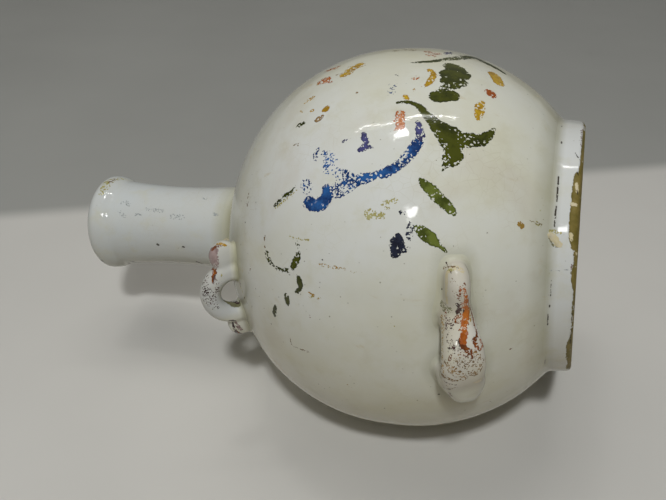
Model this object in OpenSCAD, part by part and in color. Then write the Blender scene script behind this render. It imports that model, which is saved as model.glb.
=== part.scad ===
// Pilgrim flask: a thrown globe with a long neck, a turned foot ring and four
// lobed carrying loops. Seven clay parts are made one by one and luted together.
// The origin is the middle of the foot ring's underside, and +Z runs up the neck.
// Loops stand at +X and -X. The painted front faces -Y. Sizes are millimetres.

/* [Globe] */
// Diameter of the globe at its widest circle
globe_d = 210; // [175:1:256]
// Height of the upright band round the widest circle
belly_band_h = 6; // [2:1:12]
// Distance from the axis to the centre of the shoulder's arc
shoulder_arc_in = 9.5; // [4:0.5:14]
// Distance from the axis to the centre of the lower arc
lower_arc_in = 5.5; // [2:0.5:10]
// Thickness of the thrown wall
wall = 5.5; // [4:0.5:8]
// Height of the globe's flat underside above the table
base_h = 5; // [4.5:0.5:7]
// How far the flat underside laps over the foot ring
base_lap = 4; // [2:0.5:8]
// Thickness of the floor inside the globe
floor_t = 7; // [5:0.5:10]

/* [Neck] */
// Height of the whole flask
flask_h = 288; // [240:0.1:350]
// Diameter of the bore, from the mouth into the globe
bore_d = 36; // [28:0.1:44]
// Thickness of the neck's wall at its waist
waist_wall = 5.8; // [4:0.2:9]
// Thickness of the neck's wall under the lip, where its hollow side curves out again
neck_top_wall = 9.3; // [7:0.1:12]
// Height of the waist above the top of the globe, as a share of the neck
waist_share = 0.45; // [0.35:0.05:0.6]
// Radius of the fillet that spreads the neck onto the shoulder
root_fillet_r = 9; // [5:0.5:12]

/* [Lip] */
// Thickness of the rolled lip
lip_t = 11.1; // [9.5:0.1:14]
// Radius of the swelling below the lip's widest circle
lip_swell_r = 14; // [8:1:20]

/* [Foot ring] */
// Height of the ring's outer side, from the table to its groove
foot_h = 13; // [10:0.5:15]
// Diameter of the hollow inside the ring
recess_d = 108; // [84:0.1:132]
// Thickness of the ring at its top
foot_t = 13.5; // [11:0.5:20]
// How far the ring's side leans in towards the table
foot_lean = 0.7; // [0:0.1:3]
// Radius of the worn lower edge outside
foot_edge_r = 3; // [1:0.5:4]
// Radius of the rounded top edge that makes the groove
groove_edge_r = 2; // [1:0.5:3]
// Radius of the lower edge inside the recess
recess_edge_r = 2; // [1:0.5:3]

/* [Shoulder loops] */
// Angle of the loops' seats up the shoulder's arc
shoulder_seat_up = 52.7; // [46:0.1:56]
// Outer radius of the arch
shoulder_arch_r = 18; // [15:0.5:20]
// Height of the arch's middle above the globe
shoulder_arch_lift = 2.5; // [1:0.5:4]
// Radius of the hole that the cord runs through
shoulder_hole_r = 7.5; // [6.5:0.5:9]
// Width of the strap over the arch's middle
shoulder_strap_w = 11; // [9:0.5:16]
// Width of the strap at the middle of each end lobe
shoulder_tip_w = 8.5; // [7:0.5:9]
// Radius of the strap's rounded outer edges
shoulder_edge_r = 3.5; // [2:0.5:4]
// Radius of the lobe at each end
shoulder_lobe_r = 8; // [6:0.5:9]
// How far the front lobe runs into the arch
shoulder_front_merge = 6; // [3:0.5:9]
// How far the back lobe runs into the arch
shoulder_back_merge = 6; // [3:0.5:9]
// Height of the front lobe's middle above the globe
shoulder_front_lift = 5.5; // [3:0.5:7]
// Height of the back lobe's middle above the globe
shoulder_back_lift = 1.5; // [1:0.5:7]
// How far the arch is pushed towards the foot, out of line with its lobes
shoulder_lean = 0.5; // [0:0.5:2]

/* [Lower loops] */
// Angle of the loops' seats down the lower arc
lower_seat_down = 22.1; // [16:0.1:30]
// Outer radius of the arch
lower_arch_r = 21; // [17.5:0.1:25.5]
// Height of the arch's middle above the globe
lower_arch_lift = 0.5; // [0:0.5:4]
// Radius of the hole that the cord runs through
lower_hole_r = 9.5; // [8:0.5:11]
// Width of the strap over the arch's middle
lower_strap_w = 18.5; // [14:0.5:24]
// Width of the strap at the middle of each end lobe
lower_tip_w = 11; // [9:0.5:14]
// Radius of the strap's rounded outer edges
lower_edge_r = 5; // [3:0.5:5.5]
// Radius of the lobe at each end
lower_lobe_r = 12; // [9:0.5:13]
// How far the front lobe runs into the arch
lower_front_merge = 4; // [3:0.5:10]
// How far the back lobe runs into the arch
lower_back_merge = 10; // [3:0.5:12]
// Height of the front lobe's middle above the globe
lower_front_lift = 1; // [0:0.5:4]
// Height of the back lobe's middle above the globe
lower_back_lift = 1; // [0:0.5:4]
// How far the arch is pushed towards the foot, out of line with its lobes
lower_lean = 1; // [0:0.5:4]

/* [Joints] */
// Thickness of the slip between two luted parts
lute_t = 0.1; // [0.05:0.05:0.3]

/* [Hidden] */
$fn = 120;
glaze = "#dcdcd0";
cool_glaze = "#d3d9da";
worn_orange = "#d9a27c";
globe_r = globe_d / 2;
bore_r = bore_d / 2;
recess_r = recess_d / 2;
base_r = recess_r + base_lap;
foot_top_r = recess_r + foot_t;
foot_low_r = foot_top_r - foot_lean;
waist_r = bore_r + waist_wall;
neck_top_r = bore_r + neck_top_wall;
lip_r = bore_r + lip_t;
shoulder_arc_r = globe_r - shoulder_arc_in;
lower_arc_r = globe_r - lower_arc_in;
// The lower arc stands where it meets the flat underside at its edge
lower_centre_h = base_h + sqrt(pow(lower_arc_r, 2) - pow(base_r - lower_arc_in, 2));
shoulder_centre_h = lower_centre_h + belly_band_h;
belly_mid_h = lower_centre_h + belly_band_h / 2;
// Where the neck's bore meets the outside of the globe
crown_h = shoulder_centre_h + sqrt(pow(shoulder_arc_r, 2) - pow(bore_r - shoulder_arc_in, 2));
lip_roll_r = (lip_r - bore_r) / 2;
lip_mid_r = (lip_r + bore_r) / 2;
lip_mid_h = flask_h - lip_roll_r;
waist_h = crown_h + waist_share * (lip_mid_h - crown_h);
waist_curve_r = (pow(lip_mid_h - waist_h, 2) + pow(neck_top_r - waist_r, 2))
    / 2 / (neck_top_r - waist_r);
// Centre of the root's fillet, which touches the neck and the globe's shoulder
root_r = neck_r_at(crown_h + root_fillet_r) + root_fillet_r;
root_h = shoulder_centre_h
    + sqrt(pow(shoulder_arc_r + root_fillet_r, 2) - pow(root_r - shoulder_arc_in, 2));
// Radius at which the fillet runs out on the globe
root_edge_r = shoulder_arc_in
    + (root_r - shoulder_arc_in) * shoulder_arc_r / (shoulder_arc_r + root_fillet_r);
// A cutting shape reaches this far past what it cuts
past = 1;

// Radius and height of the globe's outside at an angle up its shoulder, or down its lower arc
function globe_r_at(up) = up > 0
    ? shoulder_arc_in + shoulder_arc_r * cos(up)
    : lower_arc_in + lower_arc_r * cos(up);
function globe_h_at(up) = up > 0
    ? shoulder_centre_h + shoulder_arc_r * sin(up)
    : lower_centre_h + lower_arc_r * sin(up);
// Radius of the neck's outside at a height on its hollow curve
function neck_r_at(h) = waist_r + waist_curve_r - sqrt(pow(waist_curve_r, 2) - pow(h - waist_h, 2));

// Half outline of the globe, moved in by a thickness, or out where it is negative
module globe_outline(inset) {
    intersection() {
        translate([0, -past]) square([globe_d, flask_h]);
        union() {
            intersection() {
                translate([shoulder_arc_in, shoulder_centre_h]) circle(r = shoulder_arc_r - inset);
                translate([0, belly_mid_h]) square(globe_d);
            }
            translate([0, lower_centre_h]) square([globe_r - inset, belly_band_h]);
            intersection() {
                translate([lower_arc_in, lower_centre_h]) circle(r = lower_arc_r - inset);
                translate([0, belly_mid_h - globe_d]) square(globe_d);
            }
        }
    }
}

// The globe's outside with the slip on it, cut away from every part that seats there
module seat_cut() {
    rotate_extrude() globe_outline(-lute_t);
}

// Thrown globe: an even wall, a flat floor and an open crown under the neck
module globe() {
    color(glaze) rotate_extrude() difference() {
        intersection() {
            globe_outline(0);
            translate([0, base_h]) square([globe_d, flask_h]);
        }
        intersection() {
            globe_outline(wall);
            translate([0, base_h + floor_t]) square([globe_d, flask_h]);
        }
        translate([0, belly_mid_h]) square([bore_r, flask_h]);
    }
}

// Half outline of the neck before it is bored and fitted to the globe
module neck_outline() {
    difference() {
        square([neck_top_r, lip_mid_h]);
        translate([waist_r + waist_curve_r, waist_h]) circle(r = waist_curve_r, $fn = 720);
    }
    // Clay worked out over the shoulder, hollow and running flat onto the globe
    difference() {
        square([root_edge_r, root_h]);
        translate([root_r, root_h]) circle(r = root_fillet_r);
    }
    intersection() {
        translate([lip_r - lip_swell_r, lip_mid_h]) circle(r = lip_swell_r);
        translate([bore_r, 0]) square([lip_r, lip_mid_h]);
    }
    translate([lip_mid_r, lip_mid_h]) circle(r = lip_roll_r);
}

// Neck: waisted tube with a rolled lip, spread at its root onto the shoulder
module neck() {
    color(cool_glaze) rotate_extrude() difference() {
        neck_outline();
        globe_outline(-lute_t);
        square([bore_r, lip_mid_h]);
    }
}

// Foot ring: its top is cupped to carry the globe, and its lower edges are rounded
module foot_ring() {
    color(glaze) rotate_extrude() difference() {
        union() {
            // Side wall, leaning in towards the table between two rounded edges
            polygon([
                [recess_r + recess_edge_r, 0],
                [foot_low_r - foot_edge_r, 0],
                [foot_low_r, foot_edge_r],
                [foot_top_r, foot_h - groove_edge_r],
                [foot_top_r - groove_edge_r, foot_h],
                [recess_r, foot_h],
                [recess_r, recess_edge_r]
            ]);
            translate([foot_low_r - foot_edge_r, foot_edge_r]) circle(r = foot_edge_r);
            translate([foot_top_r - groove_edge_r, foot_h - groove_edge_r]) circle(r = groove_edge_r);
            translate([recess_r + recess_edge_r, recess_edge_r]) circle(r = recess_edge_r);
        }
        globe_outline(-lute_t);
    }
}

// Puts a child on the globe: its Z points away from the globe, its Y runs round it
module on_globe(seat_up, turn) {
    rotate([0, 0, turn])
        translate([globe_r_at(seat_up), 0, globe_h_at(seat_up)])
            rotate([0, 90 - seat_up, 0])
                children();
}

// Round disc on edge across the strap, with both its rims rounded
module round_disc(disc_r, width, edge_r) {
    rotate([0, 90, 0]) rotate_extrude() {
        translate([0, -width / 2]) square([disc_r - edge_r, width]);
        translate([0, edge_r - width / 2]) square([disc_r, width - 2 * edge_r]);
        for (side = [-1, 1])
            translate([disc_r - edge_r, side * (width / 2 - edge_r)]) circle(r = edge_r);
    }
}

// The strap seen from outside: widest over the hole, then narrowing to its ends
module strap_plan(strap_w, tip_w, hole_r, gap, lean, end, depth) {
    taper = (strap_w - tip_w) / 2 / (gap - hole_r);
    mid_half = strap_w / 2 + taper * hole_r;
    end_half = mid_half - taper * end;
    translate([0, 0, -depth]) linear_extrude(2 * depth) polygon([
        [lean + mid_half, 0], [end_half, end], [-end_half, end],
        [lean - mid_half, 0], [-end_half, -end], [end_half, -end]
    ]);
}

// Carrying loop: a pierced arch between two lobes, cut to lie on the globe
module carrying_loop(seat_up, arch_r, arch_lift, hole_r, strap_w, tip_w, edge_r,
        lobe_r, front_merge, back_merge, front_lift, back_lift, lean) {
    front_gap = arch_r + lobe_r - front_merge;
    back_gap = arch_r + lobe_r - back_merge;
    front_turn = -2 * asin(front_gap / 2 / globe_r_at(seat_up));
    back_turn = 2 * asin(back_gap / 2 / globe_r_at(seat_up));
    end = front_gap + lobe_r + past;
    depth = arch_lift + arch_r + past;
    color(worn_orange) difference() {
        intersection() {
            union() {
                on_globe(seat_up, 0) translate([lean, 0, arch_lift])
                    round_disc(arch_r, strap_w, edge_r);
                on_globe(seat_up, front_turn) translate([0, 0, front_lift])
                    round_disc(lobe_r, strap_w, edge_r);
                on_globe(seat_up, back_turn) translate([0, 0, back_lift])
                    round_disc(lobe_r, strap_w, edge_r);
            }
            on_globe(seat_up, 0) strap_plan(strap_w, tip_w, hole_r, front_gap, lean, end, depth);
        }
        on_globe(seat_up, 0) translate([lean, 0, arch_lift]) rotate([0, 90, 0])
            cylinder(r = hole_r, h = strap_w + 2 * past, center = true);
        seat_cut();
    }
}

module shoulder_loop() {
    carrying_loop(shoulder_seat_up, shoulder_arch_r, shoulder_arch_lift, shoulder_hole_r,
        shoulder_strap_w, shoulder_tip_w, shoulder_edge_r,
        shoulder_lobe_r, shoulder_front_merge, shoulder_back_merge,
        shoulder_front_lift, shoulder_back_lift, shoulder_lean);
}

module lower_loop() {
    carrying_loop(-lower_seat_down, lower_arch_r, lower_arch_lift, lower_hole_r,
        lower_strap_w, lower_tip_w, lower_edge_r,
        lower_lobe_r, lower_front_merge, lower_back_merge,
        lower_front_lift, lower_back_lift, lower_lean);
}

module shoulder_loop_left() {
    mirror([1, 0, 0]) shoulder_loop();
}

module shoulder_loop_right() {
    shoulder_loop();
}

module lower_loop_left() {
    mirror([1, 0, 0]) lower_loop();
}

module lower_loop_right() {
    lower_loop();
}

globe();
neck();
foot_ring();
shoulder_loop_left();
shoulder_loop_right();
lower_loop_left();
lower_loop_right();
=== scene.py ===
import math

import bpy
import numpy as np
from mathutils import Matrix, Vector


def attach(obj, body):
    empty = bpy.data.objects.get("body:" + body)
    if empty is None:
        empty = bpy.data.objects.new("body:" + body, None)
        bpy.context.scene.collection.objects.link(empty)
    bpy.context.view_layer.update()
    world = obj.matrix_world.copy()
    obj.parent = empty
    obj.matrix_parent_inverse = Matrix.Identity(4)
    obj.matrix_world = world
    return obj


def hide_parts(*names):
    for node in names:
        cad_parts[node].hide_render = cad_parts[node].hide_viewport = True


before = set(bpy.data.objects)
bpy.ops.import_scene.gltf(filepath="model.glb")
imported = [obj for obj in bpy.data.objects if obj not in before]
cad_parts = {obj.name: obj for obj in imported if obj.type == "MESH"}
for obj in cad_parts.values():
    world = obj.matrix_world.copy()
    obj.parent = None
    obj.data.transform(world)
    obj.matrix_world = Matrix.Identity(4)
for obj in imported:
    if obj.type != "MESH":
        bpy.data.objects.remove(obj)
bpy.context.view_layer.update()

# Camera
# The photographer stood close, at the height of the foot, and looked down at the flask
# lying on its back, so the neck points to the left of the picture.
eye = Vector((-0.3934, -0.2181, -0.0003))
aim = Vector((-0.0050, 0.0085, 0.1376))
picture_up = Vector((0.4874, -0.8712, 0.0583))
ahead = (aim - eye).normalized()
across = ahead.cross(picture_up).normalized()
upright = across.cross(ahead)
camera = bpy.data.objects.new("camera", bpy.data.cameras.new("camera"))
camera.data.sensor_width = 36
camera.data.lens = 43.24
camera.data.clip_start = 0.01
camera.matrix_world = Matrix((
    (across.x, upright.x, -ahead.x, eye.x),
    (across.y, upright.y, -ahead.y, eye.y),
    (across.z, upright.z, -ahead.z, eye.z),
    (0, 0, 0, 1)))
bpy.context.scene.collection.objects.link(camera)
bpy.context.scene.camera = camera
bpy.context.scene.view_settings.view_transform = "Standard"

# Table and floor
# A pale cotton cloth under the lying flask, and a plain pale floor under its foot for
# the views in which it stands. Each shows from its upper side only.
table_touch = Vector((0.0107, 0.1016, 0.1058))
table_up = Vector((-0.104, -0.986, -0.129)).normalized()
table_pale = (0.58, 0.565, 0.53, 1)
wall_dim = (0.33, 0.33, 0.31, 1)
floor_pale = (0.55, 0.545, 0.52, 1)
# The cloth turns up at a crease: the direction across it, and where its shade starts and ends
crease_across = (0.905, -0.148, 0.398)
crease_near, crease_far = 0.24, 0.262
# The flask picks up less light from the cloth than the camera sees, and warmer
bounce_tint = (0.72, 0.66, 0.54, 1)
floor_glow = 0.42
sheet_half = 4.0


def seen_share(nodes, links):
    """1 on the way to the camera, straight, mirrored or through glass, and 0 for other light."""
    ray = nodes.new("ShaderNodeLightPath")
    share = ray.outputs["Is Camera Ray"]
    for kind in ("Is Glossy Ray", "Is Transmission Ray"):
        more = nodes.new("ShaderNodeMath")
        more.operation = "MAXIMUM"
        links.new(share, more.inputs[0])
        links.new(ray.outputs[kind], more.inputs[1])
        share = more.outputs[0]
    return share


def upper_side_only(name, pale):
    """A dull material that shows from its upper side, with the nodes that a sheet adds to."""
    mat = bpy.data.materials.new(name)
    mat.use_nodes = True
    nodes, links = mat.node_tree.nodes, mat.node_tree.links
    nodes.clear()
    out = nodes.new("ShaderNodeOutputMaterial")
    choose = nodes.new("ShaderNodeMixShader")
    side = nodes.new("ShaderNodeNewGeometry")
    clear = nodes.new("ShaderNodeBsdfTransparent")
    dull = nodes.new("ShaderNodeBsdfDiffuse")
    dull.inputs["Color"].default_value = pale
    links.new(side.outputs["Backfacing"], choose.inputs[0])
    links.new(dull.outputs[0], choose.inputs[1])
    links.new(clear.outputs[0], choose.inputs[2])
    links.new(choose.outputs[0], out.inputs["Surface"])
    return mat, dull, choose


def cotton_cloth():
    """Crumpled pale cotton that climbs a wall beyond its crease, where it is painted darker as the wall's
    shade out of the light.
    """
    mat, dull, choose = upper_side_only("cotton_cloth", table_pale)
    nodes, links = mat.node_tree.nodes, mat.node_tree.links
    where = nodes.new("ShaderNodeTexCoord")
    far = nodes.new("ShaderNodeVectorMath")
    far.operation = "DOT_PRODUCT"
    far.inputs[1].default_value = crease_across
    links.new(where.outputs["Object"], far.inputs[0])
    fade = nodes.new("ShaderNodeMapRange")
    fade.interpolation_type = "SMOOTHSTEP"
    fade.inputs["From Min"].default_value = crease_near
    fade.inputs["From Max"].default_value = crease_far
    links.new(far.outputs["Value"], fade.inputs["Value"])
    crumple = nodes.new("ShaderNodeTexNoise")
    crumple.inputs["Scale"].default_value = 5
    crumple.inputs["Detail"].default_value = 3
    links.new(where.outputs["Object"], crumple.inputs["Vector"])
    uneven = nodes.new("ShaderNodeMapRange")
    uneven.inputs["To Min"].default_value = 0.9
    uneven.inputs["To Max"].default_value = 1.06
    links.new(crumple.outputs["Fac"], uneven.inputs["Value"])
    tone = nodes.new("ShaderNodeMix")
    tone.data_type = "RGBA"
    tone.inputs["A"].default_value = table_pale
    tone.inputs["B"].default_value = wall_dim
    links.new(fade.outputs["Result"], tone.inputs["Factor"])
    shade = nodes.new("ShaderNodeVectorMath")
    shade.operation = "SCALE"
    links.new(tone.outputs["Result"], shade.inputs[0])
    links.new(uneven.outputs["Result"], shade.inputs["Scale"])
    seen = nodes.new("ShaderNodeMix")
    seen.data_type = "RGBA"
    seen.inputs["A"].default_value = bounce_tint
    seen.inputs["B"].default_value = (1, 1, 1, 1)
    links.new(seen_share(nodes, links), seen.inputs["Factor"])
    dimmed = nodes.new("ShaderNodeVectorMath")
    dimmed.operation = "MULTIPLY"
    links.new(shade.outputs["Vector"], dimmed.inputs[0])
    links.new(seen.outputs["Result"], dimmed.inputs[1])
    links.new(dimmed.outputs["Vector"], dull.inputs["Color"])
    bump = nodes.new("ShaderNodeBump")
    bump.inputs["Strength"].default_value = 0.25
    bump.inputs["Distance"].default_value = 0.02
    links.new(crumple.outputs["Fac"], bump.inputs["Height"])
    links.new(bump.outputs["Normal"], dull.inputs["Normal"])
    return mat


def plain_floor():
    """A floor that looks pale to the camera in the standing views, and keeps the shadow."""
    mat, dull, choose = upper_side_only("plain_floor", floor_pale)
    nodes, links = mat.node_tree.nodes, mat.node_tree.links
    lit = nodes.new("ShaderNodeAddShader")
    glow = nodes.new("ShaderNodeEmission")
    glow.inputs["Color"].default_value = floor_pale
    share = nodes.new("ShaderNodeMath")
    share.operation = "MULTIPLY"
    share.inputs[1].default_value = floor_glow
    links.new(seen_share(nodes, links), share.inputs[0])
    links.new(share.outputs[0], glow.inputs["Strength"])
    links.new(dull.outputs[0], lit.inputs[0])
    links.new(glow.outputs[0], lit.inputs[1])
    links.new(lit.outputs[0], choose.inputs[1])
    return mat


def lay_flat(name, centre, up, material):
    side = up.orthogonal().normalized() * sheet_half
    other = up.cross(side)
    mesh = bpy.data.meshes.new(name)
    mesh.from_pydata([centre + side * a + other * b
                      for a, b in ((-1, -1), (1, -1), (1, 1), (-1, 1))], [], [(0, 1, 2, 3)])
    mesh.materials.append(material)
    sheet = bpy.data.objects.new(name, mesh)
    bpy.context.scene.collection.objects.link(sheet)
    return sheet


table = lay_flat("table", table_touch, table_up, cotton_cloth())
table.visible_shadow = False
floor = lay_flat("floor", Vector((0, 0, 0)), Vector((0, 0, 1)), plain_floor())
floor.visible_diffuse = False
floor.visible_glossy = False
floor.visible_shadow = False

# Light
# A small key lamp throws the crisp shadow and a wide one fills it. A strip lamp and two small
# windows show as the bright streak and spots on the glaze, and a wide lamp lights the back.
middle = Vector((0, 0, 0.12))


def lamp(name, towards, distance, width, height, watts, long_side=None, seen=True, tint=(1, 1, 1)):
    """A rectangle that shines at the flask's middle, and mirrors in the glaze if it is seen."""
    light = bpy.data.lights.new(name, "AREA")
    light.shape = "RECTANGLE"
    light.size = width
    light.size_y = height
    light.energy = watts
    light.color = tint
    towards = Vector(towards).normalized()
    along = Vector(long_side).normalized() if long_side else towards.orthogonal()
    along = (along - towards * along.dot(towards)).normalized()
    other = towards.cross(along)
    at = middle + towards * distance
    fixture = bpy.data.objects.new(name, light)
    fixture.matrix_world = Matrix((
        (along.x, other.x, towards.x, at.x),
        (along.y, other.y, towards.y, at.y),
        (along.z, other.z, towards.z, at.z),
        (0, 0, 0, 1)))
    fixture.visible_glossy = seen
    bpy.context.scene.collection.objects.link(fixture)


lamp("daylight", (-0.02, -0.998, 0.06), 1.7, 1.2, 1.2, 5.7, seen=False, tint=(1, 0.97, 0.88))
lamp("room_light", (-0.65, -0.74, -0.22), 1.7, 0.12, 0.12, 15.4, seen=False, tint=(0.97, 0.99, 1))
lamp("strip_lamp", (0.130, -0.958, -0.009), 2.0, 1.6, 0.012, 3.8, long_side=(0.26, 0.03, -0.65))
lamp("window_high", (-0.046, -0.998, 0.042), 2.0, 0.26, 0.15, 2.4, long_side=(0.07, 0, -0.12))
lamp("window_low", (-0.722, -0.665, -0.190), 2.0, 0.24, 0.18, 2.1, long_side=(0.05, 0, -0.11))
lamp("back_fill", (0.75, 0.6, 0.42), 1.8, 1.2, 1.2, 17, seen=False)

world = bpy.data.worlds.new("room")
bpy.context.scene.world = world
world.use_nodes = True
room, wires = world.node_tree.nodes, world.node_tree.links
room.clear()
sky = room.new("ShaderNodeBackground")
sky.inputs["Color"].default_value = (0.93, 0.95, 1.0, 1)
sky.inputs["Strength"].default_value = 0.045
behind = room.new("ShaderNodeBackground")
behind.inputs["Color"].default_value = (0.20, 0.198, 0.19, 1)
pick = room.new("ShaderNodeMixShader")
wires.new(seen_share(room, wires), pick.inputs[0])
wires.new(sky.outputs[0], pick.inputs[1])
wires.new(behind.outputs[0], pick.inputs[2])
wires.new(pick.outputs[0], room.new("ShaderNodeOutputWorld").inputs["Surface"])

# Globe
# Thrown hollow body of tin-glazed earthenware: a shoulder arc, an upright band and a
# lower arc, with a flat floor. Flowers were brushed on its front over the fired glaze,
# and have flaked since.
globe_r = 0.105
shoulder_in, shoulder_arc = 0.0095, 0.0955
lower_in, lower_arc = 0.0055, 0.0995
wall, base_h, base_r, floor_h, bore_r = 0.0055, 0.005, 0.058, 0.012, 0.018
lower_h = base_h + math.sqrt(lower_arc ** 2 - (base_r - lower_in) ** 2)
shoulder_h = lower_h + 0.006


def globe_radius(h):
    """Outside of the globe at each height, in metres."""
    upper = shoulder_in + np.sqrt(np.maximum(shoulder_arc ** 2 - (h - shoulder_h) ** 2, 0))
    lower = lower_in + np.sqrt(np.maximum(lower_arc ** 2 - (h - lower_h) ** 2, 0))
    return np.where(h > shoulder_h, upper, np.where(h < lower_h, lower, globe_r))


def arc(centre_r, centre_h, radius, start, stop, count):
    """Points on an arc of a half outline, from start to stop in degrees up from outwards."""
    t = np.linspace(math.radians(start), math.radians(stop), count)
    return [(centre_r + radius * math.cos(a), centre_h + radius * math.sin(a)) for a in t]


def revolve(name, profile, turns):
    """Closed skin swept round the axis by a half outline from axis to axis, or by a ring's outline."""
    turns = np.asarray(turns)
    rings, verts = [], []
    for r, h in profile:
        if r < 1e-6:
            rings.append([len(verts)] * len(turns))
            verts.append((0, 0, h))
        else:
            rings.append(list(range(len(verts), len(verts) + len(turns))))
            a = np.radians(turns - 90)
            verts += list(zip(r * np.cos(a), r * np.sin(a), [h] * len(turns)))
    faces, n = [], len(turns)
    if profile[0][0] > 1e-6:
        rings.append(rings[0])
    for low, high in zip(rings, rings[1:]):
        for i in range(n):
            j = (i + 1) % n
            ring = [low[i], low[j], high[j], high[i]]
            faces.append([v for k, v in enumerate(ring) if v != ring[k - 1]])
    mesh = bpy.data.meshes.new(name)
    mesh.from_pydata(verts, [], faces)
    mesh.polygons.foreach_set("use_smooth", [True] * len(mesh.polygons))
    piece = bpy.data.objects.new(name, mesh)
    bpy.context.scene.collection.objects.link(piece)
    return piece


def corners_of(piece):
    return np.array([v.co for v in piece.data.vertices])


def field_of(piece, name):
    return np.array([a.value for a in piece.data.attributes[name].data])


def add_field(piece, name, values):
    layer = piece.data.attributes.new(name, "FLOAT", "POINT")
    layer.data.foreach_set("value", np.asarray(values, np.float32))


# Degrees round from the middle of the front, with the painted side set out finely
painted_turns = np.arange(-96, 24, 0.6)
plain_turns = np.arange(24, 264, 1.6)
base_edge = math.degrees(math.asin((base_h - lower_h) / lower_arc))
crown_edge = math.degrees(math.acos((bore_r - shoulder_in) / shoulder_arc))
inner_crown = math.degrees(math.acos((bore_r - shoulder_in) / (shoulder_arc - wall)))
inner_base = math.degrees(math.asin((floor_h - lower_h) / (lower_arc - wall)))
globe_outline = (
    [(0, base_h), (0.02, base_h), (0.04, base_h), (0.056, base_h)]
    + arc(lower_in, lower_h, lower_arc, base_edge, -45, 12)
    + arc(lower_in, lower_h, lower_arc, -44.3, 0, 62)
    + [(globe_r, 0.091), (globe_r, 0.0925), (globe_r, 0.094)]
    + arc(shoulder_in, shoulder_h, shoulder_arc, 0, 36, 48)
    + arc(shoulder_in, shoulder_h, shoulder_arc, 37.2, crown_edge, 38)
    + [(bore_r, 0.188)]
    + arc(shoulder_in, shoulder_h, shoulder_arc - wall, inner_crown, 0, 16)
    + arc(lower_in, lower_h, lower_arc - wall, 0, inner_base, 14)
    + [(0.03, floor_h), (0, floor_h)])
globe = revolve("globe_painted", globe_outline, np.concatenate([painted_turns, plain_turns]))

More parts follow.
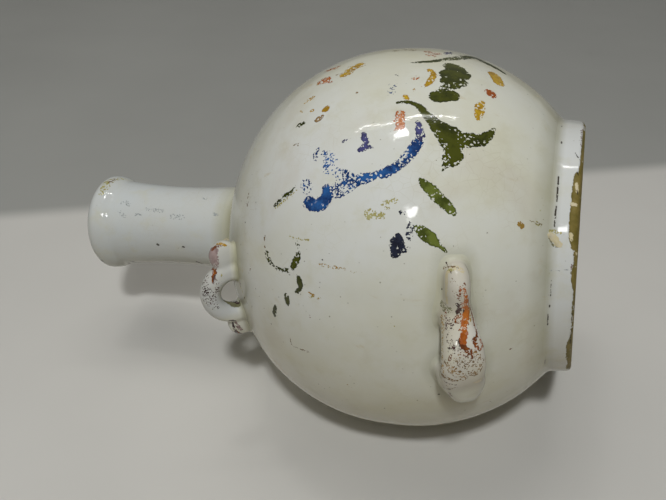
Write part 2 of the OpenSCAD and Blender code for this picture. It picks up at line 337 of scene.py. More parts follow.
# Every brush stroke as the painter laid it: degrees round from the front, height above
# the foot and brush width in millimetres, with how far its paint has flaked away
brushwork = [
    # The long blue scroll, its curls and the specks left of them
    ("violet", 0.25, [(-30, 73.5, 1), (-31.5, 72.5, 3.5), (-33.5, 71.5, 4), (-35, 70.5, 4)]),
    ("blue", 0.3, [(-35.5, 71, 4), (-37.5, 72.5, 6), (-40, 74.5, 5.5), (-42, 77, 5), (-44, 80.5, 5),
        (-45.5, 84.5, 5)]),
    ("blue", 0.38, [(-44, 80, 4), (-45.5, 84.5, 4.5), (-46, 88.5, 4), (-47, 92.5, 5), (-47.5, 96, 5.5),
        (-48.5, 97.5, 3)]),
    ("blue", 0.6, [(-48, 98.5, 6.5), (-49, 102, 8), (-50, 105, 8), (-50.5, 108.5, 6.5)]),
    ("blue", 0.82, [(-40, 114.5, 4), (-42, 111, 7.5), (-45, 112.5, 4), (-46, 105.5, 6.5), (-47, 100.5, 5)]),
    ("blue", 0.6, [(-38.5, 118.5, 1.5), (-40.5, 119.5, 2.5), (-42, 118.5, 1.5)]),
    ("blue", 0.8, [(-48.5, 122.5, 6), (-49.5, 121.5, 6)]),
    ("blue", 0.22, [(-50, 111, 5), (-51.5, 110.5, 6), (-53.5, 112.5, 6.5), (-54, 116, 6.5),
        (-53.5, 119.5, 6.5)]),
    # Small violet touches between the scroll and the leaves
    ("violet", 0.3, [(-35, 97, 3), (-36.5, 96, 3), (-37.5, 95, 2.5)]),
    ("violet", 0.25, [(-38.5, 95.5, 3.5), (-39.5, 97.5, 3)]),
    ("violet", 0.6, [(-37, 106.5, 1.5), (-36.5, 104.5, 1)]),
    ("violet", 0.6, [(-38.5, 92.5, 1.5), (-39, 92, 1)]),
    # Orange flower
    ("orange", 0.12, [(-28, 81.5, 3.5), (-29.5, 81.5, 4.5), (-31, 81, 4.5), (-32, 80.5, 4)]),
    ("orange", 0.15, [(-30, 81.5, 2), (-30.5, 84.5, 1)]),
    ("orange", 0.15, [(-32.5, 80.5, 3), (-33.5, 83, 1)]),
    ("orange", 0.15, [(-28, 82.5, 3), (-28.5, 83.5, 1.5)]),
    # Stem and the large winged leaf
    ("green", 0.18, [(-24.5, 84.5, 1.5), (-24, 80.5, 2), (-24.5, 76.5, 2.5), (-25.5, 73.5, 3.5),
        (-27.5, 70.5, 4), (-29, 67.5, 5.5), (-31, 64, 7.5)]),
    ("green", 0.25, [(-31, 64, 7.5), (-32.5, 60.5, 10), (-34.5, 58, 10.5), (-36.5, 56, 9), (-39, 55, 7.5)]),
    ("green", 0.3, [(-36.5, 59, 4), (-39.5, 58, 5), (-41.5, 58.5, 3.5), (-43.5, 59.5, 1)]),
    ("green", 0.25, [(-37.5, 54.5, 5.5), (-39, 53.5, 5), (-41, 55.5, 3.5)]),
    ("green", 0.25, [(-32, 57.5, 7.5), (-33.5, 52.5, 8), (-32.5, 48.5, 7.5), (-32, 45, 6.5),
        (-29.5, 42, 4.5), (-26.5, 40, 1.5)]),
    # Buds, and the long stem at the top
    ("green", 0.1, [(-4.5, 64.5, 9), (-5, 63.5, 10), (-5, 62.5, 10)]),
    ("green", 0.12, [(-9.5, 64.5, 10), (-9.5, 62.5, 10), (-8, 60, 10), (-7.5, 59, 10)]),
    ("green", 0.15, [(-13, 64.5, 7), (-12.5, 61.5, 7), (-12, 58, 7)]),
    ("green", 0.35, [(-15, 62, 6), (-17, 64.5, 6), (-18, 65.5, 6)]),
    ("green", 0.3, [(-14, 60, 5.5), (-14.5, 59, 3.5)]),
    ("green", 0.12, [(-20.5, 67, 8), (-20, 64.5, 8), (-19, 61.5, 8), (-19, 60.5, 7.5)]),
    ("green", 0.2, [(-5.5, 84, 1.5), (-4.5, 79.5, 2.5), (-3, 74, 3), (0.5, 68.5, 4), (4, 64, 5.5),
        (9, 60, 5.5), (12.5, 57, 5.5), (10.5, 52.5, 5.5), (9.5, 47.5, 5.5), (8, 41, 2.5)]),
    # Yellow and orange petals
    ("yellow", 0.2, [(-9, 74, 3), (-11, 71.5, 3), (-14.5, 72, 3.5), (-17, 73.5, 2), (-17.5, 74.5, 1.5)]),
    ("yellow", 0.5, [(-18.5, 77.5, 1.5), (-19.5, 78.5, 1.5)]),
    ("yellow", 0.25, [(-22, 81.5, 2.5), (-23, 80.5, 2.5)]),
    ("yellow", 0.2, [(0.5, 45, 7), (-2, 43, 7), (-3.5, 42, 6.5)]),
    ("yellow", 0.45, [(-18, 47, 3.5), (-21, 48, 4.5), (-23.5, 47.5, 4.5), (-25, 47.5, 3)]),
    ("yellow", 0.6, [(-20, 46, 2), (-23, 46, 1.5)]),
    ("orange", 0.4, [(-12, 45, 5), (-12.5, 43.5, 5)]),
    ("orange", 0.35, [(-14.5, 80, 3), (-13.5, 78.5, 2.5)]),
    # Worn flower below the neck
    ("yellow", 0.3, [(-5.5, 111.5, 7), (-7, 114.5, 7), (-9.5, 116, 7), (-10, 118.5, 3)]),
    ("brown", 0.75, [(-5.5, 108, 2.5), (-6.5, 111.5, 4), (-5.5, 116, 4), (-9, 118, 3), (-9, 122, 1.5)]),
    ("orange", 0.75, [(-1, 131, 4), (-1.5, 127.5, 4), (-2, 125, 4)]),
    ("orange", 0.35, [(-10, 130.5, 3.5), (-10, 128, 7.5), (-11.5, 125.5, 3), (-13, 122, 1.5)]),
    ("yellow", 0.45, [(-11, 131, 2.5), (-9.5, 129.5, 5.5), (-8.5, 127.5, 2.5)]),
    ("yellow", 0.35, [(-25.5, 120, 4), (-24.5, 119.5, 2.5)]),
    ("yellow", 0.5, [(-24.5, 127.5, 2.5), (-25, 127, 1.5)]),
    ("yellow", 0.7, [(-23, 135, 2.5), (-24, 134, 1.5)]),
    ("yellow", 0.75, [(-18.5, 130.5, 4), (-19.5, 134, 2.5)]),
    ("brown", 0.45, [(-29, 123.5, 2.5), (-28.5, 122, 3.5), (-27.5, 120.5, 1.5)]),
    ("green", 0.2, [(-29.5, 134.5, 1), (-29, 132.5, 3.5), (-29, 130.5, 2)]),
    ("brown", 0.6, [(-36, 133, 1), (-36, 130.5, 2)]),
    # Rubbed touches
    ("navy", 0.72, [(-12.5, 89, 2.5), (-13.5, 88, 1.5)]),
    ("navy", 0.72, [(-16, 88, 1.5), (-17, 88, 1.5)]),
    ("blue", 0.74, [(-18, 89, 4.5), (-19.5, 89, 4), (-21, 88.5, 3.5)]),
    ("orange", 0.72, [(5.5, 80, 4), (4, 76, 4), (4.5, 74, 4)]),
    ("orange", 0.8, [(2, 78.5, 3.5), (1, 75, 3.5)]),
    ("violet", 0.5, [(6, 70, 4), (9, 69.5, 4)]),
    ("brown", 0.7, [(6, 97, 3.5), (7, 93.5, 3.5), (8, 90, 4), (6.5, 87, 4)]),
    ("brown", 0.5, [(-20.5, 105.5, 1.5), (-20.5, 105.5, 1.5)]),
    # Two lighter leaves and the dark one beside them
    ("leaf", 0.22, [(-46, 69, 1), (-47.5, 66.5, 4), (-49, 63, 5.5), (-51, 59.5, 5.5), (-52.5, 56, 5),
        (-54, 53.5, 3.5), (-54.5, 53, 1)]),
    ("leaf", 0.28, [(-58.5, 69.5, 1), (-59, 67, 4.5), (-60, 64.5, 6), (-61, 62, 5.5),
        (-62.5, 58.5, 2.5), (-64, 55.5, 1.5)]),
    ("navy", 0.12, [(-60.5, 76, 2), (-62, 76.5, 5.5), (-63.5, 76.5, 6), (-65, 77, 4.5), (-66, 78, 1.5)]),
    ("navy", 0.3, [(-62.5, 74, 2), (-64, 73.5, 3)]),
    ("navy", 0.62, [(-56.5, 72, 2), (-58.5, 71.5, 3.5), (-60.5, 71.5, 3), (-61.5, 71.5, 2)]),
    ("navy", 0.75, [(-55, 75, 2.5), (-55.5, 74.5, 2)]),
    ("navy", 0.75, [(-63.5, 71, 1.5), (-63.5, 71, 1)]),
    # What is left of a straw flower
    ("straw", 0.5, [(-55.5, 90, 4), (-56, 89.5, 5), (-56, 86.5, 3.5), (-56, 83.5, 3)]),
    ("straw", 0.55, [(-53.5, 84.5, 1.5), (-53, 81, 3), (-52, 78.5, 2.5)]),
    ("straw", 0.6, [(-54.5, 82, 1.5), (-54, 79.5, 1.5)]),
    ("brown", 0.75, [(-57.5, 95, 0.5), (-58.5, 94, 1), (-58.5, 93.5, 0.5)]),
    # Ring of small leaves by the shoulder loop
    ("brown", 0.55, [(-62.5, 144, 1), (-64.5, 144.5, 1.5), (-67, 144, 1.5), (-69, 142, 3.5)]),
    ("green", 0.35, [(-68, 142.5, 3), (-70, 141, 3), (-71, 139, 2)]),
    ("green", 0.5, [(-71.5, 138, 1.5), (-72, 135.5, 2), (-72, 132, 2), (-71.5, 129.5, 1.5)]),
    ("green", 0.15, [(-71, 127, 2), (-69.5, 125.5, 4), (-68, 124, 3.5)]),
    ("green", 0.5, [(-68, 124, 3), (-66, 123.5, 3), (-64, 124.5, 2)]),
    ("green", 0.5, [(-72.5, 129, 1.5), (-73, 128.5, 1)]),
    ("green", 0.12, [(-73, 124, 2), (-74.5, 123, 3.5), (-76, 122.5, 2.5), (-77.5, 125, 2)]),
    ("green", 0.3, [(-48.5, 127.5, 1), (-50.5, 130.5, 2), (-51.5, 134, 2.5), (-54, 139, 2)]),
    ("straw", 0.7, [(-50, 127, 1.5), (-52.5, 133, 2), (-54.5, 138.5, 1.5)]),
    ("green", 0.05, [(-79.5, 131, 3), (-81, 130.5, 3), (-82, 130.5, 1.5)]),
    ("green", 0.05, [(-84, 138.5, 2.5), (-86, 139.5, 3), (-87.5, 140, 2)]),
    # Stray specks and smears, and pits from the kiln
    ("navy", 0.1, [(-68, 111, 1.5), (-68, 111, 1.5)]),
    ("ochre", 0.15, [(-55, 25.5, 3), (-55.5, 24.5, 2.5)]),
    ("straw", 0.5, [(-69.1, 112.5, 1), (-69.3, 109.5, 1.2), (-69.4, 106.5, 0.9)]),
    ("straw", 0.5, [(-69.8, 97.75, 0.9), (-70, 95.5, 1.2), (-70, 92.75, 0.9)]),
    ("straw", 0.5, [(-77.9, 118.5, 1.1), (-77.9, 115.25, 1.6), (-78.1, 111.75, 1.1)]),
    ("straw", 0.4, [(-105.9, 105, 1.5), (-106.5, 103, 1.5)]),
    ("rust", 0.5, [(-83.1, 119, 0.8), (-84.2, 117.75, 1)]),
    ("straw", 0.65, [(-82.9, 78.75, 1.1), (-83.8, 77, 0.9)]),
    ("brown", 0.66, [(-93.2, 131.75, 0.8), (-95.9, 132, 0.9), (-96.2, 129, 0.9), (-95.9, 124.75, 0.9),
        (-95.9, 121.5, 0.8)]),
    ("straw", 0.5, [(-77.2, 169, 1), (-81.1, 167.5, 1.6), (-85.5, 165.5, 1.6), (-88.6, 163.5, 1)]),
    ("brown", 0.7, [(-79.1, 168.25, 1), (-83.5, 166, 1.6), (-88.1, 164.25, 1), (-90.6, 159.75, 1)]),
    ("straw", 0.5, [(-62.7, 129, 1.2), (-62.9, 123.5, 1.1), (-63.1, 118, 0.9)]),
    ("ochre", 0.5, [(-69, 112.5, 1.2), (-69.3, 107, 1.3), (-69.8, 99.75, 1.3), (-70.1, 92.25, 0.9)]),
    ("ochre", 0.55, [(-77, 118, 1.4), (-77.9, 114.75, 1.5), (-78.7, 111.75, 1.1)]),
    ("ochre", 0.6, [(-105, 104.75, 1.3), (-106, 103, 1.5), (-106.8, 101.75, 1.2)]),
    ("pit", 0.02, [(-67.8, 111.25, 1), (-67.9, 110.75, 1)]),
    ("pit", 0.02, [(-91.4, 143.5, 1.1), (-91.4, 143, 1.1)]),
    ("rust", 0.05, [(-84.2, 118.5, 1), (-84.3, 118, 1)]),
    ("pit", 0.02, [(-122.1, 64.75, 1.2), (-122.6, 64.5, 1.2)]),
    ("pit", 0.02, [(-117.7, 132, 1.2), (-117.5, 131.5, 1.1)]),
    ("pit", 0.02, [(-95.7, 122.25, 1), (-95.7, 121.75, 1)]),
    ("pit", 0.02, [(-126.4, 125.5, 1.2), (-125.9, 124.75, 1.1)]),
    ("pit", 0.02, [(-58.8, 159.75, 1.1), (-59.2, 159.25, 1.1)]),
    ("pit", 0.05, [(-66.9, 163.25, 0.9), (-67.3, 163, 0.9)]),
    ("pit", 0.05, [(-79.1, 163.5, 0.8), (-79.9, 163.5, 0.8)]),
    ("pit", 0.05, [(-80.9, 151.75, 0.8), (-81, 151.5, 0.8)]),
    ("pit", 0.1, [(-88.8, 157, 0.9), (-89.4, 156.75, 0.8)]),
    ("pit", 0.1, [(-96.2, 157.5, 0.9), (-96.6, 157, 0.8)]),
    ("pit", 0.1, [(-82.6, 167, 0.7), (-82.9, 166.75, 0.7)]),
    ("pit", 0.1, [(-48.8, 174.5, 1), (-49.5, 174, 0.8)]),
    ("brown", 0.55, [(-115, 152.25, 0.8), (-119.5, 149.75, 1), (-122.2, 145, 1), (-121.6, 139.5, 0.8)]),
    ("brown", 0.1, [(-36.2, 131.5, 1.1), (-36.5, 131, 1)]),
    ("brown", 0.92, [(-47.2, 158.5, 3), (-52.6, 159.5, 3)]),
    ("brown", 0.92, [(-72.4, 155.75, 3), (-77.3, 155.5, 3)]),
    ("rust", 0.3, [(-97.5, 28.25, 0.8), (-97.8, 26.75, 0.8)]),
    ("brown", 0.5, [(-123.4, 38.25, 0.8), (-125.7, 36.75, 0.7)]),
    ("straw", 0.62, [(-46.6, 16.5, 0.9), (-52.9, 19, 1.4), (-54.4, 16.75, 1.9)]),
    ("clay", 0.5, [(-53.3, 21.5, 0.9), (-53.7, 18, 1.1), (-54.2, 16, 0.9)]),
]


# How far outside a stroke its paint's field still falls off, in millimetres
edge_reach = 4.0


def draw_strokes(piece, strokes, to_place, palette):
    """Writes, for each pigment, how deep inside its strokes each point of the piece is."""
    co = corners_of(piece) * 1000
    depth = {pigment: np.full(len(co), -edge_reach) for pigment in palette}
    wear = np.zeros(len(co))
    deepest = np.full(len(co), -edge_reach)
    for pigment, flaked, points in strokes:
        pts = np.array(points, float)
        # A smooth curve through the points that the brush passed
        line = []
        for i in range(len(pts) - 1):
            p0, p1, p2, p3 = pts[max(i - 1, 0)], pts[i], pts[i + 1], pts[min(i + 2, len(pts) - 1)]
            a, b = to_place(p1), to_place(p2)
            steps = 1 + int(np.linalg.norm(b[:3] - a[:3]) / max(0.25, 0.5 * min(a[3], b[3])))
            for t in np.linspace(0, 1, steps, endpoint=False):
                line.append(0.5 * (2 * p1 + (p2 - p0) * t + (2 * p0 - 5 * p1 + 4 * p2 - p3) * t ** 2
                                   + (3 * p1 - p0 - 3 * p2 + p3) * t ** 3))
        line.append(pts[-1])
        line = np.array([to_place(p) for p in line])
        centre = line[:, :3].mean(0)
        reach = np.linalg.norm(line[:, :3] - centre, axis=1).max() + line[:, 3].max() + edge_reach
        near = np.where(np.linalg.norm(co - centre, axis=1) < reach)[0]
        if not len(near):
            continue
        best = np.full(len(near), -edge_reach)
        for x, y, z, half in line:
            away = np.sqrt(((co[near] - (x, y, z)) ** 2).sum(1))
            best = np.maximum(best, half - away)
        field = depth[pigment]
        field[near] = np.maximum(field[near], best)
        more = best > deepest[near]
        wear[near[more]] = flaked
        deepest[near[more]] = best[more]
    for pigment, field in depth.items():
        add_field(piece, "paint_" + pigment, field)
    add_field(piece, "flaked", wear)


def on_front(point):
    """Where a brush point lies on the globe in millimetres, and half its width."""
    turn, height, width = point
    a = math.radians(turn - 90)
    r = float(globe_radius(np.array(height / 1000))) * 1000
    return np.array([r * math.cos(a), r * math.sin(a), height, width / 2])


flower_paints = ("straw", "brown", "ochre", "clay", "yellow", "orange", "rust", "green", "leaf",
                 "blue", "violet", "navy", "pit")
draw_strokes(globe, brushwork, on_front, flower_paints)

# Thick glaze gathers where the neck and the foot ring meet the globe, and these joins are also painted
# darker there as their shade
crown_pool_r, crown_pool_reach = 0.030, 0.046
foot_pool_h, foot_pool_reach = 0.010, 0.012
co = corners_of(globe)
from_axis = np.hypot(co[:, 0], co[:, 1])
pool = np.clip(1 - (from_axis - crown_pool_r) / crown_pool_reach, 0, 1) ** 1.3 * (co[:, 2] > 0.15)
pool = np.maximum(pool, np.clip(1 - (co[:, 2] - foot_pool_h) / foot_pool_reach, 0, 1) * 0.8)
add_field(globe, "pooled", pool)

# The glaze kept whitest on the painted side, between the neck and the flower
whitest, white_reach = np.array((-0.076, -0.056, 0.118)), 0.075
add_field(globe, "whitened",
          np.clip(1.3 - np.linalg.norm(co - whitest, axis=1) / white_reach, 0, 1))


def shader_group(name, ins, outs):
    """An empty shader node group with its named sockets, and helpers to fill it."""
    tree = bpy.data.node_groups.new(name, "ShaderNodeTree")
    kinds = {"value": "NodeSocketFloat", "colour": "NodeSocketColor", "vector": "NodeSocketVector"}
    for label, kind, default in ins:
        sock = tree.interface.new_socket(label, in_out="INPUT", socket_type=kinds[kind])
        sock.default_value = default
    for label, kind in outs:
        tree.interface.new_socket(label, in_out="OUTPUT", socket_type=kinds[kind])
    return tree, tree.nodes.new("NodeGroupInput"), tree.nodes.new("NodeGroupOutput")


def math_node(tree, operation, a, b):
    node = tree.nodes.new("ShaderNodeMath")
    node.operation = operation
    for socket, v in zip(node.inputs, (a, b)):
        if isinstance(v, (int, float)):
            socket.default_value = v
        else:
            tree.links.new(v, socket)
    return node.outputs[0]


def product(tree, a, b):
    return math_node(tree, "MULTIPLY", a, b)


def total(tree, a, b):
    return math_node(tree, "ADD", a, b)


def ramp_node(tree, value, low, high, to_low=0.0, to_high=1.0):
    """A smooth step of value between low and high."""
    node = tree.nodes.new("ShaderNodeMapRange")
    node.interpolation_type = "SMOOTHSTEP"
    for label, v in (("Value", value), ("From Min", low), ("From Max", high),
                     ("To Min", to_low), ("To Max", to_high)):
        if isinstance(v, (int, float)):
            node.inputs[label].default_value = v
        else:
            tree.links.new(v, node.inputs[label])
    return node.outputs["Result"]


def blend_node(tree, factor, a, b):
    """The colour a, changing to b as the factor rises."""
    node = tree.nodes.new("ShaderNodeMix")
    node.data_type = "RGBA"
    for label, v in (("Factor", factor), ("A", a), ("B", b)):
        socket = [s for s in node.inputs if s.name == label and s.enabled][0]
        if isinstance(v, tuple):
            socket.default_value = v
        else:
            tree.links.new(v, socket)
    return [s for s in node.outputs if s.enabled][0]


def noise_node(tree, vector, scale, detail=2.0, rough=0.5, distort=0.0):
    node = tree.nodes.new("ShaderNodeTexNoise")
    node.inputs["Scale"].default_value = scale
    node.inputs["Detail"].default_value = detail
    node.inputs["Roughness"].default_value = rough
    node.inputs["Distortion"].default_value = distort
    tree.links.new(vector, node.inputs["Vector"])
    return node


def cells_node(tree, vector, scale, feature="F1"):
    node = tree.nodes.new("ShaderNodeTexVoronoi")
    node.feature = feature
    node.inputs["Scale"].default_value = scale
    tree.links.new(vector, node.inputs["Vector"])
    return node


def cell_kinds(tree, cells):
    """Three random values for each cell."""
    node = tree.nodes.new("ShaderNodeSeparateColor")
    tree.links.new(cells.outputs["Color"], node.inputs[0])
    return node.outputs


# Brushed paint: ragged at its edge, uneven in depth, and lost in small chips
paint_group, gi, go = shader_group(
    "flaking_paint",
    [("Field", "value", 0), ("Flaked", "value", 0), ("Thick", "colour", (0, 0, 0, 1)),
     ("Thin", "colour", (0, 0, 0, 1)), ("Ragged", "value", 2.6), ("Chip scale", "value", 1250)],
    [("Mask", "value"), ("Colour", "colour")])
place = paint_group.nodes.new("ShaderNodeTexCoord").outputs["Object"]
ragged = noise_node(paint_group, place, 620, 3, 0.6).outputs["Fac"]
edge = product(paint_group, math_node(paint_group, "SUBTRACT", ragged, 0.5), gi.outputs["Ragged"])
edge = total(paint_group, gi.outputs["Field"], edge)
inside = ramp_node(paint_group, edge, -0.12, 0.12)
bend = noise_node(paint_group, place, 900, 2, 0.6)
push = paint_group.nodes.new("ShaderNodeVectorMath")
push.operation = "MULTIPLY_ADD"
paint_group.links.new(bend.outputs["Color"], push.inputs[0])
push.inputs[1].default_value = (0.0012, 0.0012, 0.0012)
paint_group.links.new(place, push.inputs[2])
chips = cells_node(paint_group, push.outputs["Vector"], 1250)
paint_group.links.new(gi.outputs["Chip scale"], chips.inputs["Scale"])
drift = noise_node(paint_group, place, 150, 3, 0.6).outputs["Fac"]
drift = product(paint_group, math_node(paint_group, "SUBTRACT", drift, 0.5), 1.5)
lost = total(paint_group, cell_kinds(paint_group, chips)[0], drift)
# Chips are fewer in the middle of a stroke
lost = total(paint_group, lost, product(paint_group, gi.outputs["Field"], 0.10))
kept = ramp_node(paint_group, lost, math_node(paint_group, "SUBTRACT", gi.outputs["Flaked"], 0.04),
                 total(paint_group, gi.outputs["Flaked"], 0.04))
paint_group.links.new(product(paint_group, inside, kept), go.inputs["Mask"])
# The colour gathers at the rim of a stroke and thins out in its middle
depth_of_paint = noise_node(paint_group, place, 120, 4, 0.65).outputs["Fac"]
streaky = product(paint_group, ramp_node(paint_group, depth_of_paint, 0.36, 0.62),
                  ramp_node(paint_group, edge, 0.15, 0.9, 0.15, 1.0))
paint_group.links.new(blend_node(paint_group, streaky, gi.outputs["Thick"], gi.outputs["Thin"]),
                      go.inputs["Colour"])

# Tin glaze: mottled, pooled greenish where thick and painted darker as shade at the joins, finely crazed,
# pitted and stained
glaze_group, gi, go = shader_group(
    "tin_glaze",
    [("Pale", "colour", (1, 1, 1, 1)), ("Warm", "colour", (1, 1, 1, 1)),
     ("Pooled and shaded", "value", 0), ("Pits", "value", 0.5), ("Stains", "value", 0.5),
     ("Crazing", "value", 0.5)],
    [("Colour", "colour"), ("Roughness", "value"), ("Height", "value")])
place = glaze_group.nodes.new("ShaderNodeTexCoord").outputs["Object"]
stains, faults = gi.outputs["Stains"], gi.outputs["Pits"]


def clouds(scale, detail=2.0, rough=0.5, distort=0.0):
    return noise_node(glaze_group, place, scale, detail, rough, distort).outputs["Fac"]


body = blend_node(glaze_group, ramp_node(glaze_group, clouds(16, 4, 0.6), 0.36, 0.68),
                  gi.outputs["Pale"], gi.outputs["Warm"])
wisp_colour, handled_colour = (0.52, 0.50, 0.36, 1), (0.50, 0.455, 0.36, 1)
body = blend_node(glaze_group, ramp_node(glaze_group, clouds(70, 5, 0.65), 0.50, 0.74, 0.0, 0.42),
                  body, wisp_colour)
handled = product(glaze_group, ramp_node(glaze_group, clouds(27, 4, 0.6, 0.4), 0.50, 0.72), stains)
body = blend_node(glaze_group, product(glaze_group, handled, 0.42), body, handled_colour)
# Specks of ash and iron, smaller than a pin's head
ash_colour = (0.10, 0.085, 0.045, 1)
ash = cells_node(glaze_group, place, 380)
ash_kind = cell_kinds(glaze_group, ash)
ash_size = product(glaze_group, ramp_node(glaze_group, ash_kind[1], 0.74, 1.0), 0.16)
speck = math_node(glaze_group, "LESS_THAN", ash.outputs["Distance"], ash_size)
speck = product(glaze_group, speck, ramp_node(glaze_group, ash_kind[2], 0.1, 1.0, 0.2, 0.75))
body = blend_node(glaze_group, product(glaze_group, speck, faults), body, ash_colour)
# Where it is thick the glaze is greener and darker, and the same darker olive paints the shade in the joins
# between the parts
pool_colour = (0.275, 0.265, 0.165, 1)
pooled = product(glaze_group, gi.outputs["Pooled and shaded"],
                 ramp_node(glaze_group, clouds(60, 3), 0.25, 0.7, 0.72, 1.0))
body = blend_node(glaze_group, product(glaze_group, pooled, 0.95), body, pool_colour)
# Crazing shows where dirt has crept into it
dirt_colour = (0.40, 0.35, 0.22, 1)
lines = cells_node(glaze_group, place, 210, "DISTANCE_TO_EDGE").outputs["Distance"]
crack = product(glaze_group, ramp_node(glaze_group, lines, 0.0, 0.035, 1.0, 0.0),
                ramp_node(glaze_group, clouds(24, 3), 0.48, 0.7))
crack = product(glaze_group, crack, gi.outputs["Crazing"])
body = blend_node(glaze_group, product(glaze_group, crack, 0.5), body, dirt_colour)
# Ochre smears rubbed on along the turning lines
smear_colour = (0.44, 0.33, 0.13, 1)
stretch = glaze_group.nodes.new("ShaderNodeMapping")
stretch.inputs["Scale"].default_value = (70, 70, 26)
glaze_group.links.new(place, stretch.inputs["Vector"])
smear = noise_node(glaze_group, stretch.outputs["Vector"], 1.0, 5, 0.62, 0.6).outputs["Fac"]
smear = product(glaze_group, ramp_node(glaze_group, smear, 0.62, 0.74), stains)
body = blend_node(glaze_group, product(glaze_group, smear, 0.55), body, smear_colour)
# Pits through the glaze to the dark clay
pit_colour = (0.06, 0.045, 0.02, 1)
spots = cells_node(glaze_group, place, 95)
pit_size = product(glaze_group, ramp_node(glaze_group, cell_kinds(glaze_group, spots)[0], 0.80, 1.0),
                   faults)
pit_edge = total(glaze_group, spots.outputs["Distance"], product(glaze_group, clouds(900), 0.05))
pit = math_node(glaze_group, "LESS_THAN", pit_edge, product(glaze_group, pit_size, 0.11))
body = blend_node(glaze_group, product(glaze_group, pit, 0.85), body, pit_colour)
glaze_group.links.new(body, go.inputs["Colour"])
dull = ramp_node(glaze_group, clouds(45, 4, 0.6), 0.4, 0.8, 0.06, 0.15)
dull = total(glaze_group, dull, product(glaze_group, pit, 0.5))
dull = total(glaze_group, dull, product(glaze_group, smear, 0.25))
glaze_group.links.new(dull, go.inputs["Roughness"])
# Slow ripples from the turning, and a skin like orange peel
height = total(glaze_group, product(glaze_group, clouds(55), 0.7), product(glaze_group, clouds(420), 0.045))
height = math_node(glaze_group, "SUBTRACT", height, product(glaze_group, pit, 0.3))
glaze_group.links.new(height, go.inputs["Height"])

# The glaze all over the pot, which each piece changes for its own where it is whitened
ground_pale, ground_warm = (0.625, 0.625, 0.55, 1), (0.585, 0.57, 0.44, 1)


def glazed(name, pale, warm, pits, stains, crazing, paints, chip):
    """A tin-glazed finish, pale and warm where the piece is whitened, with pigments laid on in turn."""
    mat = bpy.data.materials.new(name)
    mat.use_nodes = True
    tree = mat.node_tree

    def field(label):
        node = tree.nodes.new("ShaderNodeAttribute")
        node.attribute_name = label
        return node.outputs["Fac"]

    shader = tree.nodes["Principled BSDF"]
    shader.inputs["IOR"].default_value = 1.5
    glaze = tree.nodes.new("ShaderNodeGroup")
    glaze.node_tree = glaze_group
    for label, v in (("Pits", pits), ("Stains", stains), ("Crazing", crazing)):
        glaze.inputs[label].default_value = v
    tree.links.new(field("pooled"), glaze.inputs["Pooled and shaded"])
    for label, ground, own in (("Pale", ground_pale, pale), ("Warm", ground_warm, warm)):
        tree.links.new(blend_node(tree, field("whitened"), ground, own), glaze.inputs[label])
    colour, rough, worn = glaze.outputs["Colour"], glaze.outputs["Roughness"], field("flaked")
    for pigment in paints:
        thick, thin, ragged, dulled = pigments[pigment]
        coat = tree.nodes.new("ShaderNodeGroup")
        coat.node_tree = paint_group
        tree.links.new(field("paint_" + pigment), coat.inputs["Field"])
        tree.links.new(worn, coat.inputs["Flaked"])
        for label, v in (("Thick", thick), ("Thin", thin), ("Ragged", ragged), ("Chip scale", chip)):
            coat.inputs[label].default_value = v
        colour = blend_node(tree, coat.outputs["Mask"], colour, coat.outputs["Colour"])
        rough = total(tree, rough, product(tree, coat.outputs["Mask"], dulled))
    bump = tree.nodes.new("ShaderNodeBump")
    bump.inputs["Strength"].default_value = 0.35
    bump.inputs["Distance"].default_value = 0.0012
    tree.links.new(glaze.outputs["Height"], bump.inputs["Height"])
    tree.links.new(bump.outputs["Normal"], shader.inputs["Normal"])
    tree.links.new(colour, shader.inputs["Base Color"])
    tree.links.new(rough, shader.inputs["Roughness"])
    return mat


# Each pigment where it lies thick and where it lies thin, how ragged its edge is and how dull it is
pigments = {
    "straw": ((0.30, 0.27, 0.08, 1), (0.42, 0.40, 0.19, 1), 2.6, 0.06),
    "brown": ((0.13, 0.08, 0.03, 1), (0.30, 0.19, 0.08, 1), 2.2, 0.06),
    "ochre": ((0.28, 0.17, 0.03, 1), (0.38, 0.24, 0.06, 1), 2.4, 0.06),
    "yellow": ((0.30, 0.165, 0.008, 1), (0.50, 0.32, 0.014, 1), 2.0, 0.06),
    "orange": ((0.27, 0.060, 0.004, 1), (0.44, 0.135, 0.020, 1), 2.2, 0.10),
    "rust": ((0.10, 0.026, 0.005, 1), (0.26, 0.075, 0.014, 1), 2.0, 0.16),
    "green": ((0.022, 0.027, 0.001, 1), (0.055, 0.062, 0.003, 1), 2.0, 0.04),
    "leaf": ((0.040, 0.052, 0.004, 1), (0.125, 0.155, 0.024, 1), 2.0, 0.04),
    "blue": ((0.005, 0.026, 0.110, 1), (0.018, 0.095, 0.29, 1), 2.4, 0.04),
    "violet": ((0.022, 0.022, 0.075, 1), (0.065, 0.065, 0.19, 1), 2.6, 0.06),
    "navy": ((0.008, 0.010, 0.022, 1), (0.022, 0.028, 0.055, 1), 2.6, 0.06),
    "clay": ((0.125, 0.098, 0.018, 1), (0.205, 0.155, 0.042, 1), 1.8, 0.55),
    "pit": ((0.030, 0.022, 0.014, 1), (0.055, 0.045, 0.030, 1), 0.4, 0.4),
}
globe.data.materials.append(glazed(
    "painted_glaze", (0.615, 0.625, 0.605, 1), (0.585, 0.585, 0.52, 1),
    pits=0.8, stains=0.8, crazing=0.5, paints=flower_paints, chip=1250))
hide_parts("globe")
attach(globe, "root")

# Neck
# Thrown tube with a long hollow curve and a rolled lip, luted over the crown. The glaze
# is thinner and cooler here, pooled and painted darker as shade at the root, and stained where the lip was
# handled.
waist_r, waist_h, waist_curve = 0.0238, 0.23196, 0.36598
root_r, root_h, root_fillet = 0.03423, 0.19705, 0.009
lip_h, lip_mid, lip_roll, lip_swell = 0.28245, 0.02355, 0.00555, 0.014


